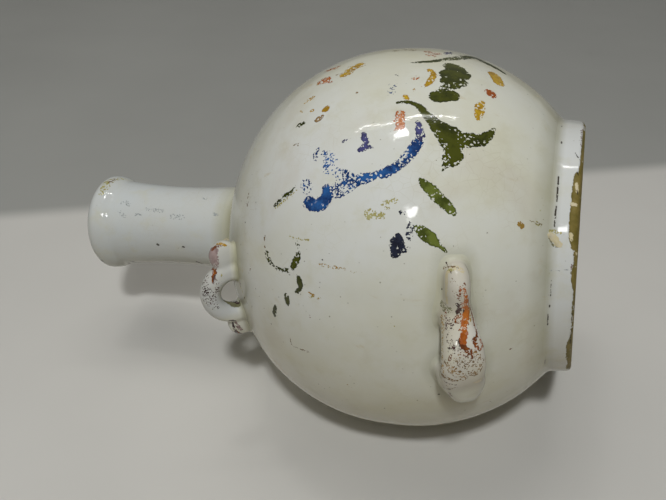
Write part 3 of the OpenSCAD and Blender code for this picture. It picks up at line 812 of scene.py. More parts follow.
def neck_radius(h):
    """Outside of the neck between its root and its lip in metres, with the lip's swell run in."""
    curve = waist_r + waist_curve - np.sqrt(waist_curve ** 2 - (h - waist_h) ** 2)
    swell = lip_mid + lip_roll - lip_swell + np.sqrt(np.maximum(lip_swell ** 2 - (h - lip_h) ** 2, 0))
    soft = np.clip(0.5 + (swell - curve) / 0.0024, 0, 1)
    return curve + (swell - curve) * soft + 0.0012 * soft * (1 - soft)


# The root sinks a little into the globe's glaze, which hides its edge
root_sunk = 0.0004
neck_outline = [(r, h - root_sunk) for r, h in arc(root_r, root_h, root_fillet, 256, 180, 34)]
neck_outline[0] = (0.0321, 0.1876)
neck_outline += [(float(neck_radius(h)), h) for h in np.linspace(root_h + 0.0006, lip_h, 118)]
neck_outline += arc(lip_mid, lip_h, lip_roll, 4, 180, 30)
neck_outline += [(bore_r, h) for h in np.linspace(0.278, 0.1909, 22)] + [(0.0183, 0.1903)]
neck_turns = np.concatenate([np.arange(-112, 36, 0.9), np.arange(36, 248, 2.65)])
neck = revolve("neck_glazed", neck_outline, neck_turns)

# Marks on the neck: degrees round from the front, height and width in millimetres
neck_marks = [
    # Yellowed where the lip was handled
    ("straw", 0.72, [(-25.4, 280.5, 3.8), (-17, 280.5, 5.8), (-6.7, 280.25, 6.5), (2.9, 279, 4.5),
        (13.8, 276.75, 3.3), (21.9, 274.75, 1.3)]),
    ("brown", 0.7, [(-3.9, 279.75, 2.6), (4.9, 278.75, 2.3)]),
    ("pit", 0.05, [(-92.3, 242, 1.5), (-93.3, 241.5, 1.5)]),
    ("pit", 0.05, [(-93.9, 225.25, 1.3), (-94.2, 224.25, 1.1)]),
    ("brown", 0.6, [(-97.4, 228.5, 0.7), (-95.3, 225.75, 0.9)]),
    ("pit", 0.35, [(-132.7, 268.75, 0.9), (-136.6, 265.75, 1.2)]),
    ("pit", 0.35, [(-118.9, 283.75, 1.3), (-122.2, 283, 1)]),
    ("pit", 0.2, [(-124.7, 220.75, 1), (-130.2, 219, 1.5), (-133.5, 217.25, 1)]),
    # Grey smudges down the neck
    ("smoke", 0.72, [(-34.4, 266.25, 2.5), (-33.7, 263, 3.1), (-36.4, 260.75, 1.9)]),
    ("smoke", 0.7, [(-46.7, 268, 2.5), (-52.9, 263, 2.5)]),
    ("smoke", 0.55, [(-49.9, 256.75, 1.5), (-50.1, 253.25, 1.5), (-49.1, 251.5, 1.2)]),
    ("smoke", 0.72, [(-40.5, 249, 2.5), (-41.4, 244.75, 2.5), (-42, 238.25, 2.4)]),
    ("smoke", 0.72, [(-48.9, 232.25, 3), (-50, 228.75, 3.6), (-49.5, 224.25, 2.4)]),
    ("smoke", 0.6, [(-43.6, 204, 1.8), (-44.9, 202, 1.8)]),
    ("smoke", 0.65, [(-17.3, 214.75, 1.8), (-19.2, 212.5, 1.2)]),
    # Dirt at the root, by the shoulder loop
    ("olive", 0.2, [(-65.4, 188, 1.5), (-69.4, 188, 2.3), (-76, 191.25, 2.3)]),
    ("brown", 0.35, [(-66.3, 188, 1.1), (-71.3, 188, 1.4)]),
    ("cream", 0.3, [(-75.6, 193, 2.3), (-79.2, 196, 2.3)]),
]


def on_neck(point):
    """Where a brush point lies on the neck in millimetres, and half its width."""
    turn, height, width = point
    a = math.radians(turn - 90)
    if height < root_h * 1e3:
        r = root_r * 1e3 - math.sqrt(max(root_fillet ** 2 * 1e6 - (height - root_h * 1e3) ** 2, 0))
    elif height > lip_h * 1e3:
        r = lip_mid * 1e3 + math.sqrt(max(lip_roll ** 2 * 1e6 - (height - lip_h * 1e3) ** 2, 0))
    else:
        r = float(neck_radius(np.array(height / 1000))) * 1000
    return np.array([r * math.cos(a), r * math.sin(a), height, width / 2])


pigments.update({
    "cream": ((0.54, 0.47, 0.29, 1), (0.56, 0.50, 0.36, 1), 2.4, 0.12),
    "smoke": ((0.26, 0.28, 0.28, 1), (0.40, 0.42, 0.41, 1), 2.4, 0.06),
    "olive": ((0.13, 0.125, 0.065, 1), (0.22, 0.215, 0.12, 1), 2.4, 0.06),
})
neck_paints = ("straw", "cream", "smoke", "olive", "brown", "pit")
draw_strokes(neck, neck_marks, on_neck, neck_paints)
# The root, where the neck meets the globe, is darkened as pooled glaze and as painted shade
root_pool_h, root_pool_reach = 0.191, 0.015
above_root = np.clip((corners_of(neck)[:, 2] - root_pool_h) / root_pool_reach, 0, 1)
add_field(neck, "pooled", 1 - above_root)
add_field(neck, "whitened", above_root)
neck.data.materials.append(glazed(
    "neck_glaze_finish", (0.53, 0.555, 0.55, 1), (0.53, 0.54, 0.515, 1),
    pits=0.25, stains=0.15, crazing=0.4, paints=neck_paints, chip=1300))
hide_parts("neck")
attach(neck, "root")

# Foot ring
# Turned ring under the globe. Its lower edge stood on the kiln shelf unglazed, and the
# glaze above it has chipped back to the ochre clay. Glaze fills the groove at its top.
foot_low, foot_top, foot_inside = 0.0668, 0.0675, 0.054
groove_r = 0.006
# The glaze in the groove is an arc that touches the ring's side and the globe
groove_mid = foot_top + groove_r - 0.0002
groove_h = lower_h - math.sqrt((lower_arc + groove_r) ** 2 - (groove_mid - lower_in) ** 2)
groove_end = math.degrees(math.atan2(lower_h - groove_h, lower_in - groove_mid))
# From the recess round the standing edge and up the side, and back within the globe's wall
foot_outline = ([(foot_inside, 0.0052), (foot_inside, 0.0036)]
                + arc(foot_inside + 0.002, 0.002, 0.002, 180, 270, 8)
                + [(r, 0.0) for r in np.linspace(0.0575, 0.0628, 8)]
                + arc(foot_low - 0.003, 0.003, 0.003, 270, 360, 14)
                + [(foot_low + (foot_top - foot_low - 0.0002) * t, 0.003 + (groove_h - 0.003) * t)
                   for t in np.linspace(0.08, 0.97, 12)]
                + arc(groove_mid, groove_h, groove_r, 180, groove_end, 12)
                + [(0.0705, 0.0168), (0.066, 0.0125), (0.0585, 0.0056), (foot_inside, 0.0056)])
foot_turns = np.concatenate([np.arange(-100, 24, 0.5), np.arange(24, 260, 1.6)])
foot_ring = revolve("foot_ring_glazed", foot_outline, foot_turns)

# Marks on the foot ring: degrees round from the front, height and width in millimetres
foot_marks = [
    # Chips along the standing edge
    ("clay", 0.02, [(0.7, 0.5, 2.1), (-8.1, 0.5, 2.3), (-15.6, 0.5, 2.3), (-21.8, 0.5, 2.5),
        (-26.3, 0.5, 3), (-30.2, 0.75, 3.5)]),
    ("clay", 0, [(-31.8, 1.25, 5.7), (-35.3, 1.25, 5.9), (-39.9, 1.5, 5.8), (-43.4, 1.5, 5.8),
        (-47.2, 1.75, 5.8), (-51.3, 1.75, 5.8), (-55.3, 1.75, 5.5), (-58.4, 1.75, 4.8),
        (-61.2, 1.5, 3.4)]),
    ("clay", 0.05, [(-62.4, 1, 2.9), (-65.2, 0.75, 2.4), (-68, 0.75, 2.4), (-71.2, 1.25, 2.9),
        (-74.5, 1, 2.9), (-77.5, 0.75, 1.9), (-79.8, 0.5, 0.7)]),
    # Glaze left standing in the chips
    ("cream", 0.05, [(-35.1, 2.25, 1.6), (-36.9, 2, 1.8), (-38.7, 2, 1.3)]),
    ("cream", 0.05, [(-43.8, 4, 1.3), (-44.1, 2.5, 1.4), (-44.4, 1.75, 1)]),
    ("cream", 0.2, [(-63.6, 0.5, 1.2), (-64, 0.25, 1)]),
    ("cream", 0.5, [(-56.2, 3.5, 1.4), (-58.5, 3, 1.4)]),
    ("pit", 0.15, [(-19.1, 4, 0.5), (-21.4, 2.75, 0.6), (-22.8, 1.5, 0.5)]),
    ("pit", 0.15, [(-29.4, 2.5, 0.6), (-30.7, 1.75, 0.7)]),
    ("pit", 0.1, [(-37.8, 2, 0.7), (-39.5, 1.5, 0.6)]),
    # Specks and cracks in the groove
    ("mauve", 0.5, [(3.2, 1.25, 1.6), (-5.7, 1.25, 1.8), (-15.1, 1.25, 1.3)]),
    ("mauve", 0.6, [(-67.2, 2.25, 1.4), (-72.8, 2, 1.4)]),
    ("pit", 0.05, [(-12.7, 10.75, 0.9), (-13.8, 10.75, 0.9)]),
    ("pit", 0.3, [(1.2, 11.5, 0.7), (0.1, 11.5, 0.7)]),
    ("pit", 0.22, [(-32.5, 10.75, 0.7), (-35.8, 10.75, 0.9), (-39.3, 10.75, 0.9), (-43.6, 10.75, 0.7)]),
    ("pit", 0.25, [(-45.3, 10.75, 0.6), (-48.2, 11, 0.9), (-51, 11, 0.9), (-53.8, 11, 0.7)]),
    ("pit", 0.1, [(-85.5, 11.25, 0.8), (-86.2, 11.25, 0.8)]),
    ("pit", 0.2, [(-89.3, 11.75, 0.5), (-91.7, 11.75, 0.8), (-94.7, 11.75, 0.8)]),
    ("pit", 0.5, [(-74.8, 11, 0.5), (-81.4, 11, 0.6)]),
    ("pit", 0.5, [(-114.5, 12.25, 0.5), (-121.7, 12.75, 0.7)]),
    # Lump of slip on the ring's side
    ("cream", 0, [(-57.7, 14.25, 2.4), (-57.1, 12.75, 3.3), (-58.5, 10.75, 3.8), (-60.4, 9, 2.9),
        (-60.9, 7.5, 1.4)]),
    ("straw", 0.25, [(-57.9, 15, 1.4), (-56.3, 14, 1.4), (-55.5, 12.25, 1.4), (-55.7, 10.25, 1.4),
        (-56, 8.25, 1)]),
    ("straw", 0.5, [(-57.3, 14, 1.9), (-58, 11.75, 2.4), (-59.8, 9.75, 1.9)]),
    ("olive", 0.3, [(-58.3, 14.75, 0.9), (-58.8, 12.5, 1), (-60.5, 11.5, 1), (-61.4, 9.75, 1),
        (-61.1, 7.25, 1)]),
    ("smoke", 0.5, [(-70.8, 11.5, 0.5), (-70.7, 7.5, 0.6), (-70.4, 3.75, 0.5)]),
    # Chips on the rest of the edge
    ("clay", 0.1, [(-88.9, 0.75, 0.8), (-95.6, 0.5, 1), (-103.2, 0.5, 1.1), (-107.9, 0.5, 0.8)]),
    ("pit", 0.4, [(-89.8, 0.75, 0.7), (-98.2, 0.75, 0.8), (-107, 0.75, 0.7)]),
    ("clay", 0.02, [(-108.8, 1, 1.5), (-112.4, 1.25, 2.6), (-116.8, 1.25, 3.1), (-124.3, 0.75, 2.1)]),
    ("clay", 0.05, [(14, 0.5, 3), (22, 0.75, 3.5), (31, 0.5, 2.5)]),
    ("clay", 0.02, [(58, 0.75, 4), (64, 1.25, 5), (70, 0.5, 3)]),
    ("clay", 0.1, [(96, 0.5, 2.5), (104, 0.5, 3)]),
    ("clay", 0.02, [(133, 1, 5), (141, 1.5, 6), (150, 1, 4), (158, 0.5, 3)]),
    ("clay", 0.05, [(186, 0.5, 3), (195, 0.75, 3.5), (203, 0.5, 2.5)]),
    ("clay", 0.02, [(228, 0.75, 4), (234, 0.75, 4)]),
    ("clay", 0.05, [(-118, 0.5, 3), (-109, 1, 4), (-103, 0.5, 3)]),
]


def on_foot(point):
    """Where a brush point lies on the foot ring in millimetres, and half its width."""
    turn, height, width = point
    h, a = height / 1000, math.radians(turn - 90)
    if h < 0.003:
        r = foot_low - 0.003 + math.sqrt(max(0.003 ** 2 - (0.003 - h) ** 2, 0))
    elif h < groove_h:
        r = foot_low + (foot_top - foot_low - 0.0002) * (h - 0.003) / (groove_h - 0.003)
    else:
        r = groove_mid - math.sqrt(max(groove_r ** 2 - (h - groove_h) ** 2, 0))
    return np.array([r * math.cos(a), r * math.sin(a), h, width / 2000]) * 1000


pigments["mauve"] = ((0.19, 0.125, 0.115, 1), (0.33, 0.25, 0.235, 1), 2.4, 0.1)
foot_paints = ("mauve", "smoke", "clay", "straw", "olive", "cream", "pit")
draw_strokes(foot_ring, foot_marks, on_foot, foot_paints)
co = corners_of(foot_ring)
# The ring's top, in the groove under the globe, is darkened as pooled glaze and as painted shade
add_field(foot_ring, "pooled", np.clip((co[:, 2] - 0.0085) / 0.004, 0, 1) * 0.55)
add_field(foot_ring, "whitened", np.clip((0.0135 - co[:, 2]) / 0.003, 0, 1))
# The edge that stood on the kiln shelf is bare clay
bare, lump = field_of(foot_ring, "paint_clay"), field_of(foot_ring, "paint_cream")
shelf_edge, inner_side = 0.0011, np.hypot(co[:, 0], co[:, 1]) < foot_inside + 0.0005
standing = (shelf_edge - co[:, 2]) * 900 - inner_side * 2
foot_ring.data.attributes["paint_clay"].data.foreach_set("value", np.maximum(bare, standing))
# Where the glaze has chipped away the clay lies a little lower, and dried slip stands proud
chip_depth, slip_height = 0.00035, 0.0006
proud = (np.clip(lump / 1.2, 0, 1) * (co[:, 2] > 0.009) * slip_height
         - np.clip(bare / 0.7 + 0.3, 0, 1) * chip_depth)
outward = np.array([v.normal for v in foot_ring.data.vertices])
foot_ring.data.vertices.foreach_set("co", (co + outward * proud[:, None]).ravel())
foot_ring.data.materials.append(glazed(
    "foot_glaze_finish", (0.575, 0.585, 0.57, 1), (0.56, 0.565, 0.53, 1),
    pits=0.35, stains=0.3, crazing=0.5, paints=foot_paints, chip=1300))
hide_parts("foot_ring")
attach(foot_ring, "root")

# Carrying loops
# Rolls of clay bent into an arch with a pad pressed down at each end, two by the neck
# and two low on the belly. The glaze softened every edge and filled the seams.
arch_cell = 0.55


def slow_min(a, b, reach):
    """The nearer of two surfaces, run together like wet clay within reach of both."""
    h = np.clip(0.5 + 0.5 * (b - a) / reach, 0, 1)
    return b + (a - b) * h - reach * h * (1 - h)


def off_globe(p):
    """Distance of each point outside the globe, in millimetres."""
    r, h = np.hypot(p[..., 0], p[..., 1]), p[..., 2]
    upper = np.hypot(r - shoulder_in * 1e3, h - shoulder_h * 1e3) - shoulder_arc * 1e3
    lower = np.hypot(r - lower_in * 1e3, h - lower_h * 1e3) - lower_arc * 1e3
    return np.where(h > shoulder_h * 1e3, upper, np.where(h < lower_h * 1e3, lower, r - globe_r * 1e3))


class Loop:
    """Sizes of one pair of loops in millimetres, as they are luted on at +X."""

    def __init__(self, seat_up, arch_r, hole_r, arch_lift, edges, pads,
                 crease, skirt, pool, pool_reach):
        self.up = math.radians(seat_up)
        self.arch_r, self.hole_r, self.arch_lift = arch_r, hole_r, arch_lift
        self.edges, self.pads = np.array(edges, float).T, pads
        self.crease, self.skirt, self.pool, self.pool_reach = crease, skirt, pool, pool_reach
        into, arc_r, arc_h = ((shoulder_in, shoulder_arc, shoulder_h) if seat_up > 0
                              else (lower_in, lower_arc, lower_h))
        self.seat_r = (into + arc_r * math.cos(self.up)) * 1e3
        self.seat_h = (arc_h + arc_r * math.sin(self.up)) * 1e3

    def local(self, p, gap=0.0):
        """Down the globe, round it and away from it, seen from the pad at gap round it."""
        turn = 2 * math.asin(gap / 2 / self.seat_r)
        x = p[..., 0] * math.cos(turn) + p[..., 1] * math.sin(turn) - self.seat_r
        y = p[..., 1] * math.cos(turn) - p[..., 0] * math.sin(turn)
        z = p[..., 2] - self.seat_h
        return (x * math.sin(self.up) - z * math.cos(self.up), y,
                x * math.cos(self.up) + z * math.sin(self.up))

    def form(self, p):
        """Distance of each point outside the loop itself, before it is luted on."""
        down, along, away = self.local(p)
        high, low = [np.interp(along, self.edges[0], edge) for edge in self.edges[1:]]
        half_w, side = (low - high) / 2, np.abs(down - (low + high) / 2)
        soft = np.minimum((self.arch_r - self.hole_r) / 2, half_w) * 0.92
        out = np.hypot(along, away - self.arch_lift)
        a = np.abs(out - (self.arch_r + self.hole_r) / 2) - (self.arch_r - self.hole_r) / 2 + soft
        b = side - half_w + soft
        shape = np.hypot(np.maximum(a, 0), np.maximum(b, 0)) + np.minimum(np.maximum(a, b), 0) - soft
        for gap, pad_r, wide, lift, set_down in self.pads:
            across, y, z = self.local(p, gap)
            reach, half = np.hypot(y, z - lift) / pad_r, np.abs(across - set_down) * 2 / wide
            dome = np.maximum((reach ** 2.6 + half ** 2.6) ** (1 / 2.6), 1e-3)
            steep = np.maximum(np.hypot(reach / pad_r, half * 2 / wide), 1e-3 / pad_r)
            shape = slow_min(shape, (dome - 1) * dome / steep, self.crease)
        # Dents left by the fingers that bent it
        lumps = (np.sin(p[..., 1] * 0.31 + 1) * np.sin(p[..., 2] * 0.37) * np.sin(p[..., 0] * 0.29 + 2)
                 + np.sin(p[..., 1] * 0.13) * np.sin(p[..., 2] * 0.17 + 1))
        return shape + 0.18 * (1 + lumps)

    def clay(self, p):
        """Distance of each point outside the loop as it sits, with its foot spread on the globe."""
        shape, outside = self.form(p), off_globe(p)
        spread = slow_min(shape, outside + 0.06, self.skirt)
        return np.maximum(np.maximum(spread, shape - self.skirt), -1.3 - outside)

    def pooled(self, p):
        """How thick the glaze lies on the globe and on the loop's foot where they meet, which is also
        painted darker there as the shade of that crease.
        """
        near = np.clip(1 - self.form(p) / self.pool_reach, 0, 1)
        return near * np.clip(1.15 - off_globe(p) / 2.4, 0, 1) * self.pool


def skin_over(clay, low, high, cell):
    """Mesh of the surface where clay is zero, one corner in each cell that it crosses."""
    axes = [np.arange(a - cell, b + 2 * cell, cell) for a, b in zip(low, high)]
    grid = np.stack(np.meshgrid(*axes, indexing="ij"), -1)
    field = clay(grid)
    # Slivers thinner than a cell are smoothed away, so that every edge joins two faces
    for axis in (0, 1, 2, 0, 1, 2):
        last = field.shape[axis] - 1
        beside = np.take(field, np.clip(np.arange(-1, last), 0, None), axis)
        beyond = np.take(field, np.clip(np.arange(1, last + 2), None, last), axis)
        field = field / 2 + (beside + beyond) / 4
    inside = field < 0
    shape = np.array(field.shape) - 1
    total, hits = np.zeros((*shape, 3)), np.zeros(shape)
    corners = [(i, j, k) for i in (0, 1) for j in (0, 1) for k in (0, 1)]
    for one in corners:
        for axis in range(3):
            if one[axis]:
                continue
            two = tuple(1 if a == axis else v for a, v in enumerate(one))
            cut = [tuple(slice(v, v + n) for v, n in zip(c, shape)) for c in (one, two)]
            f0, f1 = field[cut[0]], field[cut[1]]
            cross = inside[cut[0]] != inside[cut[1]]
            share = np.where(cross, f0 / np.where(cross, f0 - f1, 1), 0)[..., None]
            total += np.where(cross[..., None], grid[cut[0]] * (1 - share) + grid[cut[1]] * share, 0)
            hits += cross
    used = hits > 0
    number = np.full(shape, -1)
    number[used] = np.arange(used.sum())
    verts = total[used] / hits[used][:, None]
    faces = []
    for axis in range(3):
        u, v = [a for a in range(3) if a != axis]
        near = [slice(1, n) for n in shape]
        near[axis] = slice(0, shape[axis])
        far = list(near)
        far[axis] = slice(1, shape[axis] + 1)
        a, b = inside[tuple(near)], inside[tuple(far)]
        for cross, turned in ((a & ~b, axis == 1), (b & ~a, axis != 1)):
            at = np.argwhere(cross) + [0 if k == axis else 1 for k in range(3)]
            ring = []
            for du, dv in ((0, 0), (1, 0), (1, 1), (0, 1)):
                q = at.copy()
                q[:, u] -= du
                q[:, v] -= dv
                ring.append(number[tuple(q.T)])
            ring = np.stack(ring if not turned else ring[::-1], 1)
            faces.append(ring)
    return verts, np.concatenate(faces)


# Each edge point: along the loop, and how far down the globe the strap's two sides lie.
# Each pad: its place along the loop, radius, width, lift and how far it is set down.
shoulder = Loop(52.7, 18, 6.9, 2.1, ((-20, -4.2, 4.4), (-10, -5, 6), (10, -5, 6), (21, -4.6, 5)),
                ((-20, 8, 10.5, 5.5, 0.3), (21, 8.6, 10.5, 1.5, 0.2)), 1.4, 2.2, 1.0, 16)
lower = Loop(-22.1, 21, 9.5, 0.5, ((-29, -4.8, 7), (-15, -6.2, 9), (-7, -8.4, 10.6),
                                   (0, -9.2, 11.4), (10, -8.8, 11), (24, -6, 12)),
             ((-29, 12, 12.4, 1, 1.0), (18, 13.2, 18, 1.5, 3.0)), 8.0, 3.2, 0.6, 7)

# Marks on the loops: along the loop from its middle, down the globe, out from it and width
shoulder_marks = [
    # Front pad, rubbed to mauve with rust and yellow at its edge
    ("mauve", 0.22, [(-26, 0, 8.5, 4.7), (-23.5, 1, 9.5, 5.2), (-20, 2, 9.5, 4.7), (-17.5, 0.5, 10, 3.1)]),
    ("mauve", 0.4, [(-25, -1, 10.5, 2.1), (-20, -1, 11, 2.1)]),
    ("rust", 0.35, [(-26.5, -1, 9, 1.6), (-27.5, -1, 6.5, 1.8), (-28, 0, 4.5, 1.3)]),
    ("yellow", 0.3, [(-28.5, -2, 5.5, 1.8), (-28.5, -1, 4, 2.1), (-27.5, 0, 2, 1.6)]),
    ("rust", 0.02, [(-15, -2.5, 11.5, 1.1), (-16, -0.5, 10.5, 1.6), (-16.5, 2, 9, 1)]),
    ("rust", 0.05, [(-16, 0, 10, 2.1), (-15, 2.5, 10.5, 2.6), (-13.5, 4, 11, 3.1), (-11.5, 5, 12, 2.3),
        (-10.5, 5.5, 12.5, 1.3)]),
    # Fine specks over the strap
    ("umber", 0.93, [(-12.5, 1, 15, 4.2), (-9, 3, 17, 5.8), (-5, 5, 17, 5.8), (0, 5.5, 16.5, 4.7)]),
    ("umber", 0.95, [(-13, 5, 10, 4.2), (-7.5, 5.5, 11, 4.7), (-2.5, 6, 13.5, 5.3), (4, 6, 13.5, 4.8)]),
    ("mauve", 0.15, [(-26, -1, 9.5, 4.2), (-22.5, 0, 10.5, 4.7), (-18.5, 0, 10.5, 4.2)]),
    ("umber", 0.1, [(-12, -2, 15, 0.8), (-11, 0.5, 16, 0.9)]),
    ("umber", 0.1, [(-10, 1.5, 17, 1.4), (-10, 3, 16.5, 1.3)]),
    ("umber", 0.2, [(-9.5, 4.5, 15.5, 0.8), (-8.5, 5, 15.5, 0.7)]),
    ("umber", 0.2, [(-8, 5.5, 14.5, 0.8), (-7.5, 5.5, 14.5, 0.6)]),
    ("umber", 0.2, [(-6, 6, 14, 0.6), (-5, 6, 13.5, 0.7)]),
    ("umber", 0.2, [(-6.5, 5.5, 10, 0.7), (-4.5, 5, 10.5, 0.8)]),
    ("umber", 0.2, [(-3, 5.5, 16, 0.7), (-2.5, 5.5, 16, 0.7)]),
    ("umber", 0.3, [(-2, 3.5, 19, 0.7), (-1, 4, 19, 0.6)]),
    ("umber", 0.3, [(-7.5, 3.5, 17.5, 0.6), (-7, 4, 17.5, 0.6)]),
    ("umber", 0.3, [(-5.5, 3, 18.5, 0.6), (-5, 3.5, 18.5, 0.6)]),
    ("straw", 0.4, [(-14, 5, 7.5, 0.9), (-12.5, 5.5, 8.5, 1)]),
    # A painted light-blue glint: the sky's reflection on the strap
    ("sky", 0.25, [(-10, 5.5, 9.5, 0.9), (-8, 5.5, 9, 1.2)]),
    # Far pad
    ("umber", 0.1, [(14.5, 5, 8, 0.9), (15, 5, 6, 1.1), (16, 4.5, 4.5, 0.9)]),
    ("umber", 0.08, [(17.5, 2.5, 6, 1.3), (20, 2, 6, 1.6), (23.5, 1.5, 5.5, 1.6), (27.5, -1, 4, 1.4)]),
    ("mauve", 0.3, [(17.5, 3, 4.5, 1.3), (21, 2.5, 3.5, 2.2), (24, 2, 2, 1.9)]),
    ("rust", 0.1, [(23.5, 1.5, 5, 1.6), (27.5, -0.5, 3, 2.2), (29, -1, 1, 2.5), (28.5, -0.5, 0, 1.7)]),
    # Olive and umber on the inner wall of the hole under the arch: painted shade in that hollow
    ("olive", 0.04, [(3.5, 1, 8.5, 2.1), (6, 1, 5.5, 3.8), (7, 2.5, 2, 4.3)]),
    ("umber", 0.55, [(4, -1, 7.5, 1.1), (7, -1.5, 4, 2.2), (7, 2, 1, 2.1)]),
]
